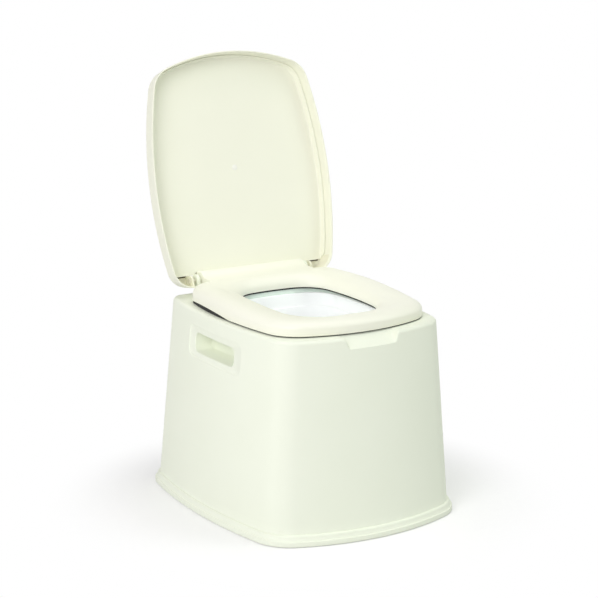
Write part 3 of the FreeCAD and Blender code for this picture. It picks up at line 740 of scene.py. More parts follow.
def footBosses():
    edge, bore, radius = pick(bossForm, "edge", "bore", "radius")
    low, high = bossForm["low"], bossForm["low"] + bossForm["height"]
    profile = [(bore + edge, low), (radius - edge, low), (radius, low + edge), (radius, high - edge),
               (radius - edge, high), (bore + edge, high), (bore, high - edge), (bore, low + edge)]
    nodes = [corner + "_foot" for corner in cornerNames]
    return [lathe("footBoss", profile, *boxMiddle(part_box(node))) for node in nodes]


lug = hingeLug()
bodyMesh = combined(bodySkin(), [lug, mirroredMesh(lug)], "UNION")
bodyMesh = joinedMesh("bodyMoulding", [bodyMesh] + footBosses())
finishPiece("bodyMoulding", bodyMesh, plastics["bodyIvory"], "body", ["body_shell"])
print("body moulded:", len(bodyMesh.polygons), "faces")


# Pail and its bail

def pailInset(z):
    return pailForm["draft"] * (pailForm["rimTop"] - z) / pailForm["depth"]


pailStops = evenStops(40, 18, 40, 36)


def pailLevel(inset, z):
    return atHeight(ringPoints(pailForm["mouth"], inset, pailStops), z)


def pailProfile():
    # inset and z from the middle of the underside, up the outside, over the lip and down the inside;
    # the small steps round off each corner
    wall, rimTop, lipTop = pick(pailForm, "wall", "rimTop", "lipTop")
    rimLow = rimTop - pailForm["rimThickness"]
    ledge, rebate = rimTop - pailForm["stepDepth"], lipTop - pailForm["rebateDepth"]
    upper = pailForm["rebate"]
    lower = upper + pailForm["step"]
    lip, rim, floorRound = pick(pailForm, "lipRound", "rimRound", "floorRound")
    far = pailForm["rimWidth"]

    def sideLine(grow):
        floor = rimTop - pailForm["depth"] + wall - grow
        bend = floor + floorRound
        line = [(pailInset(bend) + lower - grow + run, bend - rise)
                for run, rise in quarter(floorRound, floorRound, 7)[::-1]]
        line += [(pailInset(z) + lower - grow, z) for z in np.linspace(bend, ledge - 0.0016, 9)[1:]]
        line.append((pailInset(ledge) + lower - grow - 0.0003, ledge - 0.0006))
        line.append((pailInset(ledge) + upper - grow + 0.0004, ledge))
        line += [(pailInset(z) + upper - grow, z) for z in np.linspace(ledge + 0.0006, rebate - 0.0010, 5)]
        line.append((pailInset(rebate) + upper - grow - 0.0005, rebate - 0.0003))
        line.append((0.0006 - grow, rebate))
        line.append((-grow, rebate + 0.0007))
        return line

    outside = sideLine(wall)[:-2] + [(-wall, rebate), (-wall, rimLow - 0.0006), (-wall - 0.0006, rimLow)]
    outside += [(run - far, rimLow + rim - rise) for run, rise in quarter(rim, rim, 3)[::-1]]
    outside += [(run - far, rimTop - rim + rise) for run, rise in quarter(rim, rim, 3)]
    outside += [(-wall - 0.0010, rimTop), (-wall - 0.0003, rimTop + 0.0003), (-wall, rimTop + 0.0010)]
    outside += [(run - wall, lipTop - lip + rise) for run, rise in quarter(lip, lip, 3)]
    inside = [(-run, lipTop - lip + rise) for run, rise in quarter(lip, lip, 3)[::-1]]
    return outside + inside + sideLine(0.0)[::-1]


def pailMesh():
    return sweptMesh("pailShell", [pailLevel(inset, z) for inset, z in pailProfile()])


bailForm = {"z": 0.3408, "radius": 0.0022, "halfWidth": 0.131, "front": -0.158, "corner": 0.060,
            "endBend": 0.0066, "inward": 0.013, "steps": 14, "play": 0.0003}
gripForm = {"radius": 0.0065, "length": 0.096, "bore": 0.00235, "edge": 0.002, "segments": 40}


def bailEar():
    y, z, radius = pailForm["bailY"], bailForm["z"], pailForm["earRadius"]
    low, outer = pailForm["rimTop"] - pailForm["earRoot"], pailForm["earOuter"]
    line = [(y - radius, low), (y + radius, low)] + arcLine(y, z, radius, 0, math.pi, 21)
    hole = (y, z, bailForm["radius"] + bailForm["play"])
    return plateMesh("bailEar", line, hole, outer - pailForm["earThickness"], outer, pailForm["earEdge"])


def bailLine():
    # the wire's centre line, from one end in its ear round the front to the other
    side, front, corner = pick(bailForm, "halfWidth", "front", "corner")
    bend, y = bailForm["endBend"], pailForm["bailY"]
    points = [(side - bailForm["inward"] - bend, y)]
    points += arcLine(side - bend, y - bend, bend, math.pi / 2, 0, 9)
    points += arcLine(side - corner, front + corner, corner, 0, -math.pi / 2, bailForm["steps"] + 1)
    points += [(-x, depth) for x, depth in points[::-1]]
    return [(x, depth, bailForm["z"]) for x, depth in points]


def inputSocket(tree, name, kind, value):
    socket = tree.interface.new_socket(name, in_out="INPUT", socket_type=kind)
    if value is not None:
        socket.default_value = value
    return socket


def pathTree(name, material, profileKind):
    # geometry nodes: a profile carried along every edge path of the mesh
    tree = bpy.data.node_groups.new(name, "GeometryNodeTree")
    inputSocket(tree, "Geometry", "NodeSocketGeometry", None)
    first = inputSocket(tree, "Breadth", "NodeSocketFloat", 0.002)
    second = inputSocket(tree, "Height", "NodeSocketFloat", 0.009)
    tree.interface.new_socket("Geometry", in_out="OUTPUT", socket_type="NodeSocketGeometry")
    nodes, links = tree.nodes, tree.links
    entry, leave = nodes.new("NodeGroupInput"), nodes.new("NodeGroupOutput")
    path = nodes.new("GeometryNodeMeshToCurve")
    upright = nodes.new("GeometryNodeSetCurveNormal")
    upright.mode = "Z_UP"
    sweep = nodes.new("GeometryNodeCurveToMesh")
    sweep.inputs["Fill Caps"].default_value = True
    real = nodes.new("GeometryNodeRealizeInstances")
    paint = nodes.new("GeometryNodeSetMaterial")
    paint.inputs["Material"].default_value = material
    if profileKind == "round":
        profile = nodes.new("GeometryNodeCurvePrimitiveCircle")
        profile.inputs["Resolution"].default_value = 20
        links.new(entry.outputs["Breadth"], profile.inputs["Radius"])
    else:
        profile = nodes.new("GeometryNodeCurvePrimitiveQuadrilateral")
        links.new(entry.outputs["Breadth"], profile.inputs["Width"])
        links.new(entry.outputs["Height"], profile.inputs["Height"])
    links.new(profile.outputs["Curve"], sweep.inputs["Profile Curve"])
    steps = (entry, path, upright, sweep, real, paint, leave)
    for before, after in zip(steps, steps[1:]):
        links.new(before.outputs[0], after.inputs[0])
    return tree, first.identifier, second.identifier


def pathMesh(name, points, edges, material, profileKind, breadth, height=0.0):
    tree, breadthKey, heightKey = pathTree(name, material, profileKind)
    line = bpy.data.meshes.new(name)
    line.from_pydata(points, edges, [])
    source = linkedObject(name, line)
    modifier = source.modifiers.new("path", "NODES")
    modifier.node_group = tree
    modifier[breadthKey] = breadth
    modifier[heightKey] = height
    return mended(plainMesh(source))


def chainEdges(count, first=0):
    return [(index, index + 1) for index in range(first, first + count - 1)]


def gripMesh():
    radius, half, bore, edge = gripForm["radius"], gripForm["length"] / 2, gripForm["bore"], gripForm["edge"]
    profile = [(bore, -half + edge)]
    profile += [(radius - run, -half + edge - rise) for run, rise in quarter(edge, edge, 4)[::-1]]
    profile += [(radius - run, half - edge + rise) for run, rise in quarter(edge, edge, 4)]
    profile.append((bore, half - edge))
    sleeve = lathe("bailGrip", profile, 0, 0, gripForm["segments"])
    place = Matrix.Translation((0, bailForm["front"], bailForm["z"]))
    sleeve.transform(place @ Matrix.Rotation(math.pi / 2, 4, "Y"))
    return mended(sleeve)


ear = bailEar()
pail = combined(pailMesh(), [ear, mirroredMesh(ear)], "UNION")
lipLow = pailForm["lipTop"] - pailForm["rebateDepth"]
# the pail's band above the rebate's ledge takes the painted shade
shadedLipFaces = [face.index for face in pail.polygons if face.center.z > lipLow + 0.0001]
finishPiece("pail", pail, plastics["pailWhite"], "body", ["bucket"],
            others=[(plastics["lipPaintedShade"], shadedLipFaces)])
bailPoints = bailLine()
bail = pathMesh("pailBail", bailPoints, chainEdges(len(bailPoints)), zincWire, "round", bailForm["radius"])
finishPiece("pailBail", bail, zincWire, "body", ["bucket_bail"])
finishPiece("pailGrip", gripMesh(), plastics["pailWhite"], "body", ["bail_grip"])
print("pail and bail made")


# Seat: a crowned ring, dished towards its hole, hollow and ribbed underneath, with its hinge barrel

seatForm = {
    "ring": {"width": 0.316, "front": -0.190, "back": 0.161,
             "bows": (0.036, 0.017, 0.003), "corners": (0.066, 0.040)},
    "hole": {"width": 0.178, "front": -0.132, "back": 0.113,
             "bows": (0.020, 0.010, 0.009), "corners": (0.062, 0.052)},
    "low": 0.336, "top": 0.366, "shoulder": 0.022, "shoulderRise": 0.018, "roll": 0.022, "rollRise": 0.015,
    "holeLow": 0.343, "wall": 0.003, "crown": 0.0006, "lip": 0.0011,
    "dip": 0.28, "dipBase": 0.3445, "dipStart": 0.07, "dipLength": 0.22,
    "dish": 0.006, "dishBack": 0.127, "dishFade": 0.045,
    "reliefLength": 0.160, "reliefRise": 0.0045, "reliefY": 0.070,
    "barrelEnd": 0.103, "barrelRadius": 0.015, "endWall": 0.006, "ridge": 0.3658, "bridgeStart": 0.133,
    "bridgeFlat": 0.022, "barrelTurn": 125.0, "bridgeEdge": 0.0012, "hollowEdge": 0.0002,
    "ribCount": 12, "ribWall": 0.002, "ribDepth": 0.009, "ribGap": 0.005, "ribSteps": 12, "ribRoot": 0.0003,
    "bossRadius": 0.007, "bossLow": 0.3385, "bossBore": 0.00255, "bossEdge": 0.0006, "root": 0.001,
}
# dark strips in the seat's gaps: painted shadow
gapShadowForm = {"insets": (0.0007, 0.0023), "ringGap": 0.0013, "holeGap": 0.0003, "drop": -0.22, "root": 0.0005}
seatStops = evenStops(44, 18, 44, 40)


def seatLevel(side, inset, z):
    return atHeight(ringPoints(seatForm[side], inset, seatStops), z)


def seatBetween(share, z, ringInset, holeOutset):
    outer = ringPoints(seatForm["ring"], ringInset, seatStops)
    inner = ringPoints(seatForm["hole"], -holeOutset, seatStops)
    return atHeight(outer * (1 - share) + inner * share, z)


def seatRing():
    top, low, wall, lip = pick(seatForm, "top", "low", "wall", "lip")
    shoulder, rise = pick(seatForm, "shoulder", "shoulderRise")
    roll, rollRise, holeLow = pick(seatForm, "roll", "rollRise", "holeLow")
    chip = softShare * lip
    lipLine = ((0, lip), (chip, chip), (lip, 0), (wall - lip, 0), (wall, lip))
    rows = [seatLevel("ring", inset, low + up) for inset, up in lipLine[2::-1]]
    rows.append(seatLevel("ring", 0, (low + top - rise) / 2))
    rows += [seatLevel("ring", run, top - rise + climb) for run, climb in quarter(shoulder, rise, 14)]
    for share in np.linspace(0, 1, 8)[1:-1]:
        crown = seatForm["crown"] * math.sin(math.pi * share) ** 2
        rows.append(dished(seatBetween(share, top + crown, shoulder, roll)))
    for run, climb in quarter(roll, rollRise, 12)[::-1]:
        rows.append(dished(seatLevel("hole", -run, top - rollRise + climb)))
    rows += [seatLevel("hole", -outset, holeLow + up) for outset, up in lipLine]
    for run, climb in quarter(roll, rollRise - wall, 8):
        rows.append(dished(seatLevel("hole", -run - wall, top - rollRise + climb)))
    for share in np.linspace(1, 0, 6)[1:-1]:
        rows.append(dished(seatBetween(share, top - wall, shoulder + wall, roll + wall)))
    for run, climb in quarter(shoulder, rise - wall, 9)[::-1]:
        rows.append(seatLevel("ring", run + wall, top - rise + climb))
    rows += [seatLevel("ring", inset, low + up) for inset, up in lipLine[:2:-1]]
    for row in rows[:3] + rows[-2:]:
        row[:, 2] += sideRelief(row)
    for row in rows:
        row[:, 2] = dipped(row[:, 1], row[:, 2])
    return sweptMesh("seatRing", rows, closed=True)


def dishDrop(y, share):
    # the top falls from the shoulder towards the hole, and less so beside the hinge
    return seatForm["dish"] * eased(share) * eased((seatForm["dishBack"] - y) / seatForm["dishFade"])


def dished(row):
    hole = ringPoints(seatForm["hole"], 0, seatStops)
    span = np.hypot(*(ringPoints(seatForm["ring"], seatForm["shoulder"], seatStops) - hole).T)
    row[:, 2] -= dishDrop(row[:, 1], 1 - np.hypot(*(row[:, :2] - hole).T) / span)
    return row


def dipped(y, z):
    # the seat's top comes down towards its front
    share = eased((seatForm["dipStart"] - y) / seatForm["dipLength"])
    return z - seatForm["dip"] * share * np.maximum(z - seatForm["dipBase"], 0)


def sideRelief(row):
    # how far the seat's lower edge rises along its sides
    along = (row[:, 1] - seatForm["reliefY"]) / (seatForm["reliefLength"] / 2)
    side = np.abs(row[:, 0]) > seatForm["hole"]["width"] / 2 + seatForm["roll"]
    return np.where(side, seatForm["reliefRise"] * np.clip(1 - along ** 2, 0, 1), 0)


def seatGapShadowStrips():
    # painted shadow: dark strips under the seat's outer and inner edges, just clear of the deck and the
    # pail, that keep those gaps black
    shadowStrips = []
    for side, sign, low, high in (("ring", 1, bodyForm["deck"], seatForm["low"]),
                                  ("hole", -1, pailForm["lipTop"], seatForm["holeLow"])):
        near, far = (sign * inset for inset in gapShadowForm["insets"])
        bottom, top = low + gapShadowForm[side + "Gap"], high + gapShadowForm["root"]
        rows = [seatLevel(side, inset, z)
                for inset, z in ((near, bottom), (far, bottom), (far, top), (near, top))]
        if side == "ring":
            for row, share in zip(rows, (gapShadowForm["drop"], gapShadowForm["drop"], 1, 1)):
                row[:, 2] += share * sideRelief(row)
        shadowStrips.append(mended(sweptMesh("gapShadowStrip", rows, closed=True)))
    return joinedMesh("seatGapShadowStrips", shadowStrips)


def bridgeLine(inset):
    # side view of the tongue behind the ring, rising into the hinge barrel
    radius, ridge = seatForm["barrelRadius"] - inset, seatForm["ridge"] - inset
    y, z = pick(hinge, "y", "z")
    line = [(seatForm["bridgeStart"], seatForm["holeLow"] + inset), (y, z - radius)]
    line += arcLine(y, z, radius, -math.pi / 2, math.radians(seatForm["barrelTurn"]), 34)[1:]
    lastY, lastZ = line[-1]
    startY = seatForm["bridgeStart"] + seatForm["bridgeFlat"]
    for share in np.linspace(0, 1, 9)[1:-1]:
        line.append((lastY + (startY - lastY) * share, ridge + (lastZ - ridge) * (1 - share) ** 3))
    line += [(startY, ridge), (seatForm["bridgeStart"], ridge)]
    return line


def wallLines():
    # inner faces of the seat's two walls, seen from above
    dense = evenStops(90, 40, 90, 90)
    return (ringPoints(seatForm["hole"], -seatForm["wall"], dense),
            ringPoints(seatForm["ring"], seatForm["wall"], dense))


def ceilingHeight(place, spread=0.0):
    # lowest underside of the seat's top within a distance of a place
    top, wall = pick(seatForm, "top", "wall")
    slopes = ((seatForm["roll"], seatForm["rollRise"]), (seatForm["shoulder"], seatForm["shoulderRise"]))
    heights, away = [], []
    for line, (run, rise) in zip(wallLines(), slopes):
        away.append(max(np.hypot(*(line - place).T).min() - spread, 0))
        heights.append(top - rise + (rise - wall) * math.sin(math.acos(max(1 - away[-1] / run, 0))))
    share = 1 - (away[0] + wall) / (sum(away) + 2 * (wall + spread) - seatForm["shoulder"])
    return float(dipped(place[1] - spread, min(heights) - dishDrop(place[1], share)))


def seatRibs():
    # lines under the seat's top from the hole's wall to the outer wall, one for each rib
    middle = np.array((0, (seatForm["hole"]["front"] + seatForm["hole"]["back"]) / 2))
    points, edges = [], []
    for index in range(seatForm["ribCount"]):
        angle = 2 * math.pi * (index + 0.5) / seatForm["ribCount"]
        spoke = np.array((math.cos(angle), math.sin(angle)))
        ends = []
        for line in wallLines():
            ways = line - middle
            ends.append(line[np.argmax(ways @ spoke / np.hypot(ways[:, 0], ways[:, 1]))])
        gone = seatForm["ribGap"] / np.hypot(*(ends[1] - ends[0]))
        for share in np.linspace(gone, 1 - gone, seatForm["ribSteps"]):
            place = ends[0] + (ends[1] - ends[0]) * share
            points.append((*place, ceilingHeight(place) - seatForm["ribDepth"] / 2 + seatForm["ribRoot"]))
        edges += chainEdges(seatForm["ribSteps"], index * seatForm["ribSteps"])
    return pathMesh("seatRibs", points, edges, plastics["seatIvory"], "flat", seatForm["ribWall"],
                    seatForm["ribDepth"])


def bumperBosses():
    radius, bore, edge, low = pick(seatForm, "bossRadius", "bossBore", "bossEdge", "bossLow")
    bosses = []
    for corner in cornerNames:
        place = boxMiddle(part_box(corner + "_seat_bumper"))
        high = ceilingHeight(np.array(place), radius) + seatForm["root"]
        profile = [(bore, low + edge), (bore + edge, low), (radius - edge, low), (radius, low + edge),
                   (radius, high), (bore, high)]
        bosses.append(lathe("bumperBoss", profile, *place, 30))
    return bosses


def seatMesh():
    end, wall = pick(seatForm, "barrelEnd", "wall")
    inside = end - seatForm["endWall"]
    bridge = plateMesh("bridge", bridgeLine(0), None, -end, end, seatForm["bridgeEdge"])
    hollow = plateMesh("hollow", bridgeLine(wall), None, -inside, inside, seatForm["hollowEdge"])
    under = boxMesh("under", (-inside, seatForm["ring"]["back"], bodyForm["deck"]),
                    (inside, hinge["y"] + seatForm["barrelRadius"] - wall, hinge["z"]))
    ring = combined(seatRing(), [bridge], "UNION")
    return combined(ring, [hollow, under], "DIFFERENCE")


seat = joinedMesh("seatMoulding", [seatMesh(), seatRibs()] + bumperBosses())
finishPiece("seatMoulding", seat, plastics["seatIvory"], "seat", ["seat"])
# the seat's gaps get dark strips: painted shadow
finishPiece("seatGapShadowStrips", seatGapShadowStrips(), plastics["blackRubberAndShadow"], "seat")
print("seat moulded:", len(seat.polygons), "faces")


# Lid: a shallow dish with a smooth liner, made shut and then turned open

lidForm = {
    "rim": {"width": 0.349, "front": -0.2048, "back": 0.2005, "belly": 0.012,
            "bows": (0.034, 0.023, 0.0015), "corners": (0.047, 0.038)},
    "rimLow": 0.339, "top": 0.3774, "wall": 0.0024, "draft": 0.0032, "backDraft": 0.002,
    "shoulder": 0.012, "rise": 0.009, "backShoulder": 0.005, "lip": 0.0011,
    "linerFace": 0.369, "linerWall": 0.0022, "linerEdge": 0.011, "linerFit": 0.0002, "linerBend": 0.003,
    "linerBack": 0.1778, "bayBack": 0.1735, "bayHalf": 0.1045, "baySlope": 0.0002, "lipFade": 0.010,
    "troughStart": 0.1735, "earInner": 0.118, "earThickness": 0.004, "earRadius": 0.009, "bore": 0.00355,
    "earBackGap": 0.003, "earTopGap": 0.002, "earEdge": 0.0005, "linerLip": 0.0009, "wingSteps": 5,
    "edgeShadowBand": (0.1768, 0.1802), "edgeShadowDepth": 0.003, "slotPlay": 0.001, "cutOver": 0.002,
}
troughForm = {"slack": 0.0005, "margin": 0.003, "low": 0.004, "facing": 0.3, "skinPlay": 0.0003,
              "split": 0.001}
markForm = {"y": -0.002, "radius": 0.005, "height": 0.0003, "root": 0.0006, "edge": 0.0003, "side": 0.0001,
            "pinhole": 0.0004}
lidStops = evenStops(48, 16, 48, 44)


def shrunkShape(shape, side, back):
    made = dict(shape)
    made["width"] = shape["width"] - 2 * side
    made["front"] = shape["front"] + side
    made["back"] = shape["back"] - back
    made["corners"] = tuple(radius - min(side, radius / 2) for radius in shape["corners"])
    return made


def lidLevel(share, inset, z):
    # share runs from 0 at the rim to 1 at the start of the rounded edge, and on over it to 2
    shape = lidForm["rim"]
    if share <= 1:
        drafted = shrunkShape(shape, lidForm["draft"] * share, lidForm["backDraft"] * share)
    else:
        run = lidForm["shoulder"] * (share - 1)
        drafted = shrunkShape(shape, lidForm["draft"] + run,
                              lidForm["backDraft"] + run * lidForm["backShoulder"] / lidForm["shoulder"])
    return atHeight(ringPoints(drafted, inset, lidStops), z)


def wallShare(z):
    return (z - lidForm["rimLow"]) / (lidForm["top"] - lidForm["rise"] - lidForm["rimLow"])


def lidShellMesh():
    rimLow, top, wall, lip = pick(lidForm, "rimLow", "top", "wall", "lip")
    bend, chip = top - lidForm["rise"], softShare * lip
    rimLine = ((wall - chip, chip), (wall - lip, 0), (lip, 0), (chip, chip))
    innerArc = quarter(1.0, lidForm["rise"] - wall, 7)[::-1]
    rows = [lidLevel(1 + run, wall, bend + climb) for run, climb in innerArc]
    rows += [lidLevel(wallShare(z), wall, z) for z in np.linspace(bend, rimLow + lip, 6)[1:]]
    rows += [lidLevel(0, inset, rimLow + up) for inset, up in rimLine]
    rows += [lidLevel(wallShare(z), 0, z) for z in np.linspace(rimLow + lip, bend, 7)[:-1]]
    rows += [lidLevel(1 + run, 0, bend + climb) for run, climb in quarter(1.0, lidForm["rise"], 10)]
    return sweptMesh("lidShell", rows)


def lidEar():
    y, z, radius, inner = hinge["y"], hinge["z"], lidForm["earRadius"], lidForm["earInner"]
    far, high = lidForm["rim"]["back"] - lidForm["earBackGap"], lidForm["top"] - lidForm["earTopGap"]
    line = arcLine(y, z, radius, math.pi, 1.5 * math.pi, 12)
    line += [(far, z - radius), (far, high), (y - radius, high)]
    return plateMesh("lidEar", line, (y, z, lidForm["bore"]), inner, inner + lidForm["earThickness"],
                     lidForm["earEdge"])


def opened(mesh):
    place = Matrix.Translation((0, hinge["y"], hinge["z"]))
    turn = Matrix.Rotation(math.radians(-hinge["openAngle"]), 4, "X")
    mesh.transform(place @ turn @ place.inverted())
    return mesh


def lugSlots():
    # open slots in the skin's back edge, where the body's lugs pass
    low = lugForm["inner"] - lidForm["slotPlay"]
    high = lugForm["inner"] + lugForm["thickness"] + lidForm["slotPlay"]
    over = lidForm["cutOver"]
    slot = boxMesh("lugSlot", (low, lidForm["linerBack"], lidForm["rimLow"] - over),
                   (high, lidForm["rim"]["back"] + over, lidForm["top"] + over))
    return [slot, mirroredMesh(slot)]


def lidShell():
    inner, over = pick(lidForm, "earInner", "cutOver")
    trough = boxMesh("trough", (-inner, lidForm["troughStart"], lidForm["rimLow"] - over),
                     (inner, lidForm["rim"]["back"] + over, lidForm["top"] - lidForm["wall"] - 0.0001))
    shell = combined(lidShellMesh(), [trough] + lugSlots(), "DIFFERENCE")
    ear = lidEar()
    shell = combined(shell, [ear, mirroredMesh(ear)], "UNION")
    for y in (lidForm["bayBack"] - troughForm["split"], *lidForm["edgeShadowBand"]):
        splitAcross(shell, y)
    return shell


def splitAcross(mesh, y):
    # faces that cross a plane are divided along it
    work = bmesh.new()
    work.from_mesh(mesh)
    everything = work.verts[:] + work.edges[:] + work.faces[:]
    bmesh.ops.bisect_plane(work, geom=everything, plane_co=(0, y, 0), plane_no=(0, 1, 0))
    work.to_mesh(mesh)
    work.free()


def troughFaces(mesh):
    # painted shade: faces of the hinge trough, the ears and the inside of the skin behind the liner, take a
    # darker beige
    found = []
    slack, margin = pick(troughForm, "slack", "margin")
    inner, outer = lidForm["earInner"] - slack, lidForm["earInner"] + lidForm["earThickness"] + slack
    first, last = lidForm["bayBack"] - margin, lidForm["rim"]["back"] - margin
    skin = lidForm["top"] - lidForm["wall"] + troughForm["skinPlay"]
    for face in mesh.polygons:
        x, y, z = face.center
        behind = y > first and z > lidForm["rimLow"] + troughForm["low"]
        inward = face.normal.dot(Vector((-math.copysign(1, x), -1, -1))) > troughForm["facing"]
        ear = inner < abs(x) < outer and z < skin and y < last
        if behind and (inward or ear):
            found.append(face.index)
    return found


def edgeShadowFaces(mesh):
    # painted shadow: a dark line on the skin along the liner's end, beside the barrel
    first, last = lidForm["edgeShadowBand"]
    skin = lidForm["top"] - lidForm["wall"] - lidForm["edgeShadowDepth"]
    return [face.index for face in mesh.polygons
            if first < face.center.y < last and face.normal.z < -0.5 and face.center.z > skin]


def linerLimit(row):
    return np.where(np.abs(row[:, 0]) < lidForm["bayHalf"], lidForm["bayBack"], lidForm["linerBack"])


def linerLevel(inset, z):
    # the lid's inner outline, cut straight at the back with a bay for the seat's barrel
    row = lidLevel(wallShare(z), inset, z)
    start = sum(len(part) for part in lidStops[:4])
    stop = start + len(lidStops[4])
    wide, narrow = lidForm["bayHalf"] + lidForm["baySlope"], lidForm["bayHalf"] - lidForm["baySlope"]
    wing = lidForm["wingSteps"]
    right = np.linspace(row[start, 0], wide, wing, endpoint=False)
    left = np.linspace(-wide, row[stop, 0], wing + 1, endpoint=False)
    middle = np.linspace(narrow, -narrow, stop - start - 2 * wing - 2)
    row[start:stop, 0] = np.concatenate((right, [wide], middle, left))
    row[:, 1] = np.minimum(row[:, 1], linerLimit(row))
    return row


def mouldMark():
    # a low round mark on the liner, with a pinhole in its middle
    face, pinhole, radius = lidForm["linerFace"], markForm["pinhole"], markForm["radius"]
    low, root = face - markForm["height"], face + markForm["root"]
    profile = [(pinhole, low), (pinhole, root), (radius, root), (radius, face - markForm["side"]),
               (radius - markForm["edge"], low)]
    return mended(lathe("mouldMark", profile, 0, markForm["y"], 30))


def linerMesh():
    face, wall, bend, lip = pick(lidForm, "linerFace", "linerWall", "linerBend", "linerLip")
    gap = lidForm["wall"] + lidForm["linerFit"]
    low, deep, chip = face - lidForm["linerEdge"], gap + wall, softShare * lip
    edgeLine = ((deep, lip), (deep - chip, chip), (deep - lip, 0), (gap + lip, 0), (gap, lip))
    rows = [linerLevel(deep + run, face - bend + climb) for run, climb in quarter(bend, bend, 6)[::-1]]
    rows += [linerLevel(inset, low + up) for inset, up in edgeLine]
    for row in rows:
        # the tray's edge runs out towards the back, where the tray is open
        fade = eased((linerLimit(row) - row[:, 1]) / lidForm["lipFade"])
        row[:, 2] = face - (face - row[:, 2]) * fade
    rows += [linerLevel(gap, face + 0.0004), linerLevel(gap + 0.001, face + wall)]
    liner = mended(sweptMesh("lidLiner", rows))
    joined = joinedMesh("lidLiner", [liner, mouldMark()])
    return opened(joined), range(len(liner.polygons), len(joined.polygons))


shell = lidShell()
# painted shade on the hinge trough, and a painted shadow line along the liner's end
shades = [(plastics["troughPaintedShade"], troughFaces(shell)), (plastics["paintedEdgeShadow"], edgeShadowFaces(shell))]
finishPiece("lidShell", opened(shell), plastics["lidIvory"], "lid", ["lid_shell"], others=shades)
liner, mark = linerMesh()
finishPiece("lidLiner", liner, plastics["lidIvory"], "lid", ["lid_liner"],
            others=[(plastics["markPale"], mark)])
print("lid moulded")


# Small CAD pieces keep their shape and take their finish here

smallFinishes = {"hinge_pin": "pinPlastic", "foot": "blackRubberAndShadow", "seat_bumper": "blackRubberAndShadow"}
for nodeName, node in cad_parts.items():
    for ending, finish in smallFinishes.items():
        if nodeName.endswith(ending):
            node.data.materials.clear()
            node.data.materials.append(plastics[finish])


# Studio: pale floor, soft light and the photograph's viewpoint

studio = {
    "azimuth": -31.17, "elevation": 13.45, "distance": 3.3717, "target": (-0.01397, 0.0, 0.3522),
    "lens": 120.5, "lampAim": (0, 0, 0.35),
    "floorSize": 30.0, "floorLift": 0.22, "shadowReach": (0.24, 0.45), "floorRoughness": 0.9,
    "floorTone": {"cloudScale": 0.6, "deep": (0.796, 0.796, 0.796), "pale": (0.80, 0.80, 0.80)},
    "worldStrength": 0.29, "worldColour": (1.0, 1.0, 1.0),
    "key": {"place": (-2.7, -1.9, 2.05), "size": 2.4, "power": 74, "colour": (1.0, 0.99, 1.0)},
    "left": {"place": (-3.4, 1.2, 1.4), "size": 2.4, "power": 18, "colour": (1.0, 1.0, 1.0)},
    "right": {"place": (2.6, -2.0, 2.8), "size": 2.4, "power": 37, "colour": (0.87, 1.0, 0.87)},
    "overhead": {"place": (0.7, -0.3, 3.4), "size": 2.4, "power": 28, "colour": (1.0, 0.96, 0.98)},
}


def viewDirection():
    a, e = math.radians(studio["azimuth"]), math.radians(studio["elevation"])
    return Vector((math.sin(a) * math.cos(e), -math.cos(a) * math.cos(e), math.sin(e)))


def makeCamera():
    data = bpy.data.cameras.new("viewCamera")
    data.lens = studio["lens"]
    data.sensor_width = 36.0
    data.clip_end = 100.0
    camera = linkedObject("viewCamera", data)
    back = viewDirection()
    camera.location = Vector(studio["target"]) + back * studio["distance"]
    camera.rotation_euler = (-back).to_track_quat("-Z", "Y").to_euler()
    bpy.context.scene.camera = camera


def makeLamp(name, settings):
    data = bpy.data.lights.new(name, "AREA")
    data.shape = "DISK"
    data.size = settings["size"]
    data.energy = settings["power"]
    data.color = settings["colour"]
    lamp = linkedObject(name, data)
    lamp.location = settings["place"]
    aim = Vector(studio["lampAim"]) - Vector(settings["place"])
    lamp.rotation_euler = aim.to_track_quat("-Z", "Y").to_euler()


def seenPlain(nodes, links):
    # 1 for rays that come from the camera, off a gloss or through a clear piece
    path = nodes.new("ShaderNodeLightPath")
    total = path.outputs["Is Camera Ray"]
    for kind in ("Is Glossy Ray", "Is Transmission Ray"):
        add = nodes.new("ShaderNodeMath")
        add.operation = "ADD"
        add.use_clamp = True
        links.new(total, add.inputs[0])
        links.new(path.outputs[kind], add.inputs[1])
        total = add.outputs[0]
    return total


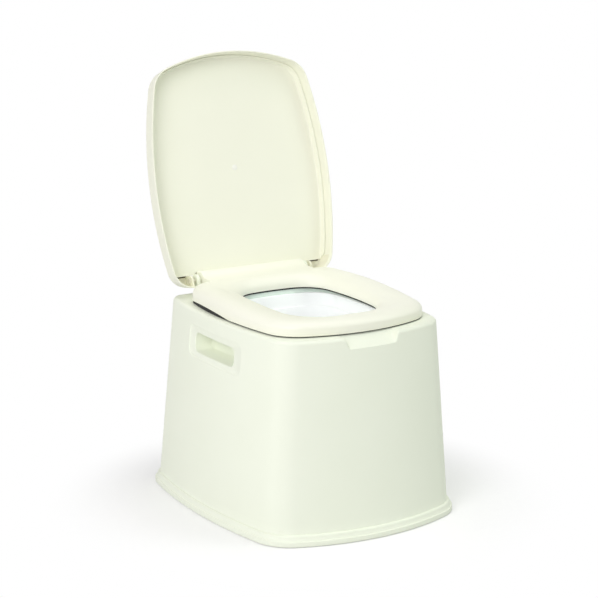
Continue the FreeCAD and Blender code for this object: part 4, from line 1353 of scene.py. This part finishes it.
def makeFloor():
    half = studio["floorSize"] / 2
    corners = [(-half, -half, 0), (half, -half, 0), (half, half, 0), (-half, half, 0)]
    floor = linkedObject("studioFloor", meshOf("studioFloor", corners, [(0, 1, 2, 3)]))
    material, nodes, links, shader = nodeMaterial("studioFloor")
    cloudyTone(nodes, links, shader, studio["floorTone"], 2)
    setInputs(shader, {"Roughness": studio["floorRoughness"], "Specular IOR Level": 0.0})
    # seen by the camera, the floor fades to plain white away from the object and its shadow
    lift = setInputs(nodes.new("ShaderNodeEmission"), {"Strength": studio["floorLift"]})
    white = setInputs(nodes.new("ShaderNodeEmission"), {"Strength": 1.0})
    total = nodes.new("ShaderNodeAddShader")
    links.new(shader.outputs[0], total.inputs[0])
    links.new(lift.outputs[0], total.inputs[1])
    place = nodes.new("ShaderNodeTexCoord")
    reach = nodes.new("ShaderNodeVectorMath")
    reach.operation = "LENGTH"
    links.new(place.outputs["Object"], reach.inputs[0])
    fade = nodes.new("ShaderNodeMapRange")
    fade.interpolation_type = "SMOOTHSTEP"
    fade.inputs["From Min"].default_value, fade.inputs["From Max"].default_value = studio["shadowReach"]
    links.new(reach.outputs["Value"], fade.inputs["Value"])
    near = mixedShader(nodes, links, fade.outputs["Result"], total.outputs[0], white.outputs[0])
    seen = mixedShader(nodes, links, seenPlain(nodes, links), shader.outputs[0], near)
    links.new(seen, nodes["Material Output"].inputs["Surface"])
    floor.data.materials.append(material)


def makeWorld():
    world = bpy.data.worlds.new("studioWorld")
    bpy.context.scene.world = world
    world.use_nodes = True
    nodes, links = world.node_tree.nodes, world.node_tree.links
    light = nodes["Background"]
    setInputs(light, {"Color": (*studio["worldColour"], 1), "Strength": studio["worldStrength"]})
    white = setInputs(nodes.new("ShaderNodeBackground"), {"Color": (1, 1, 1, 1), "Strength": 1.0})
    seen = mixedShader(nodes, links, seenPlain(nodes, links), light.outputs[0], white.outputs[0])
    links.new(seen, nodes["World Output"].inputs["Surface"])


makeCamera()
for lampName in ("key", "left", "right", "overhead"):
    makeLamp(lampName + "Lamp", studio[lampName])
makeFloor()
makeWorld()
bpy.context.scene.view_settings.view_transform = "Standard"
print("studio set")
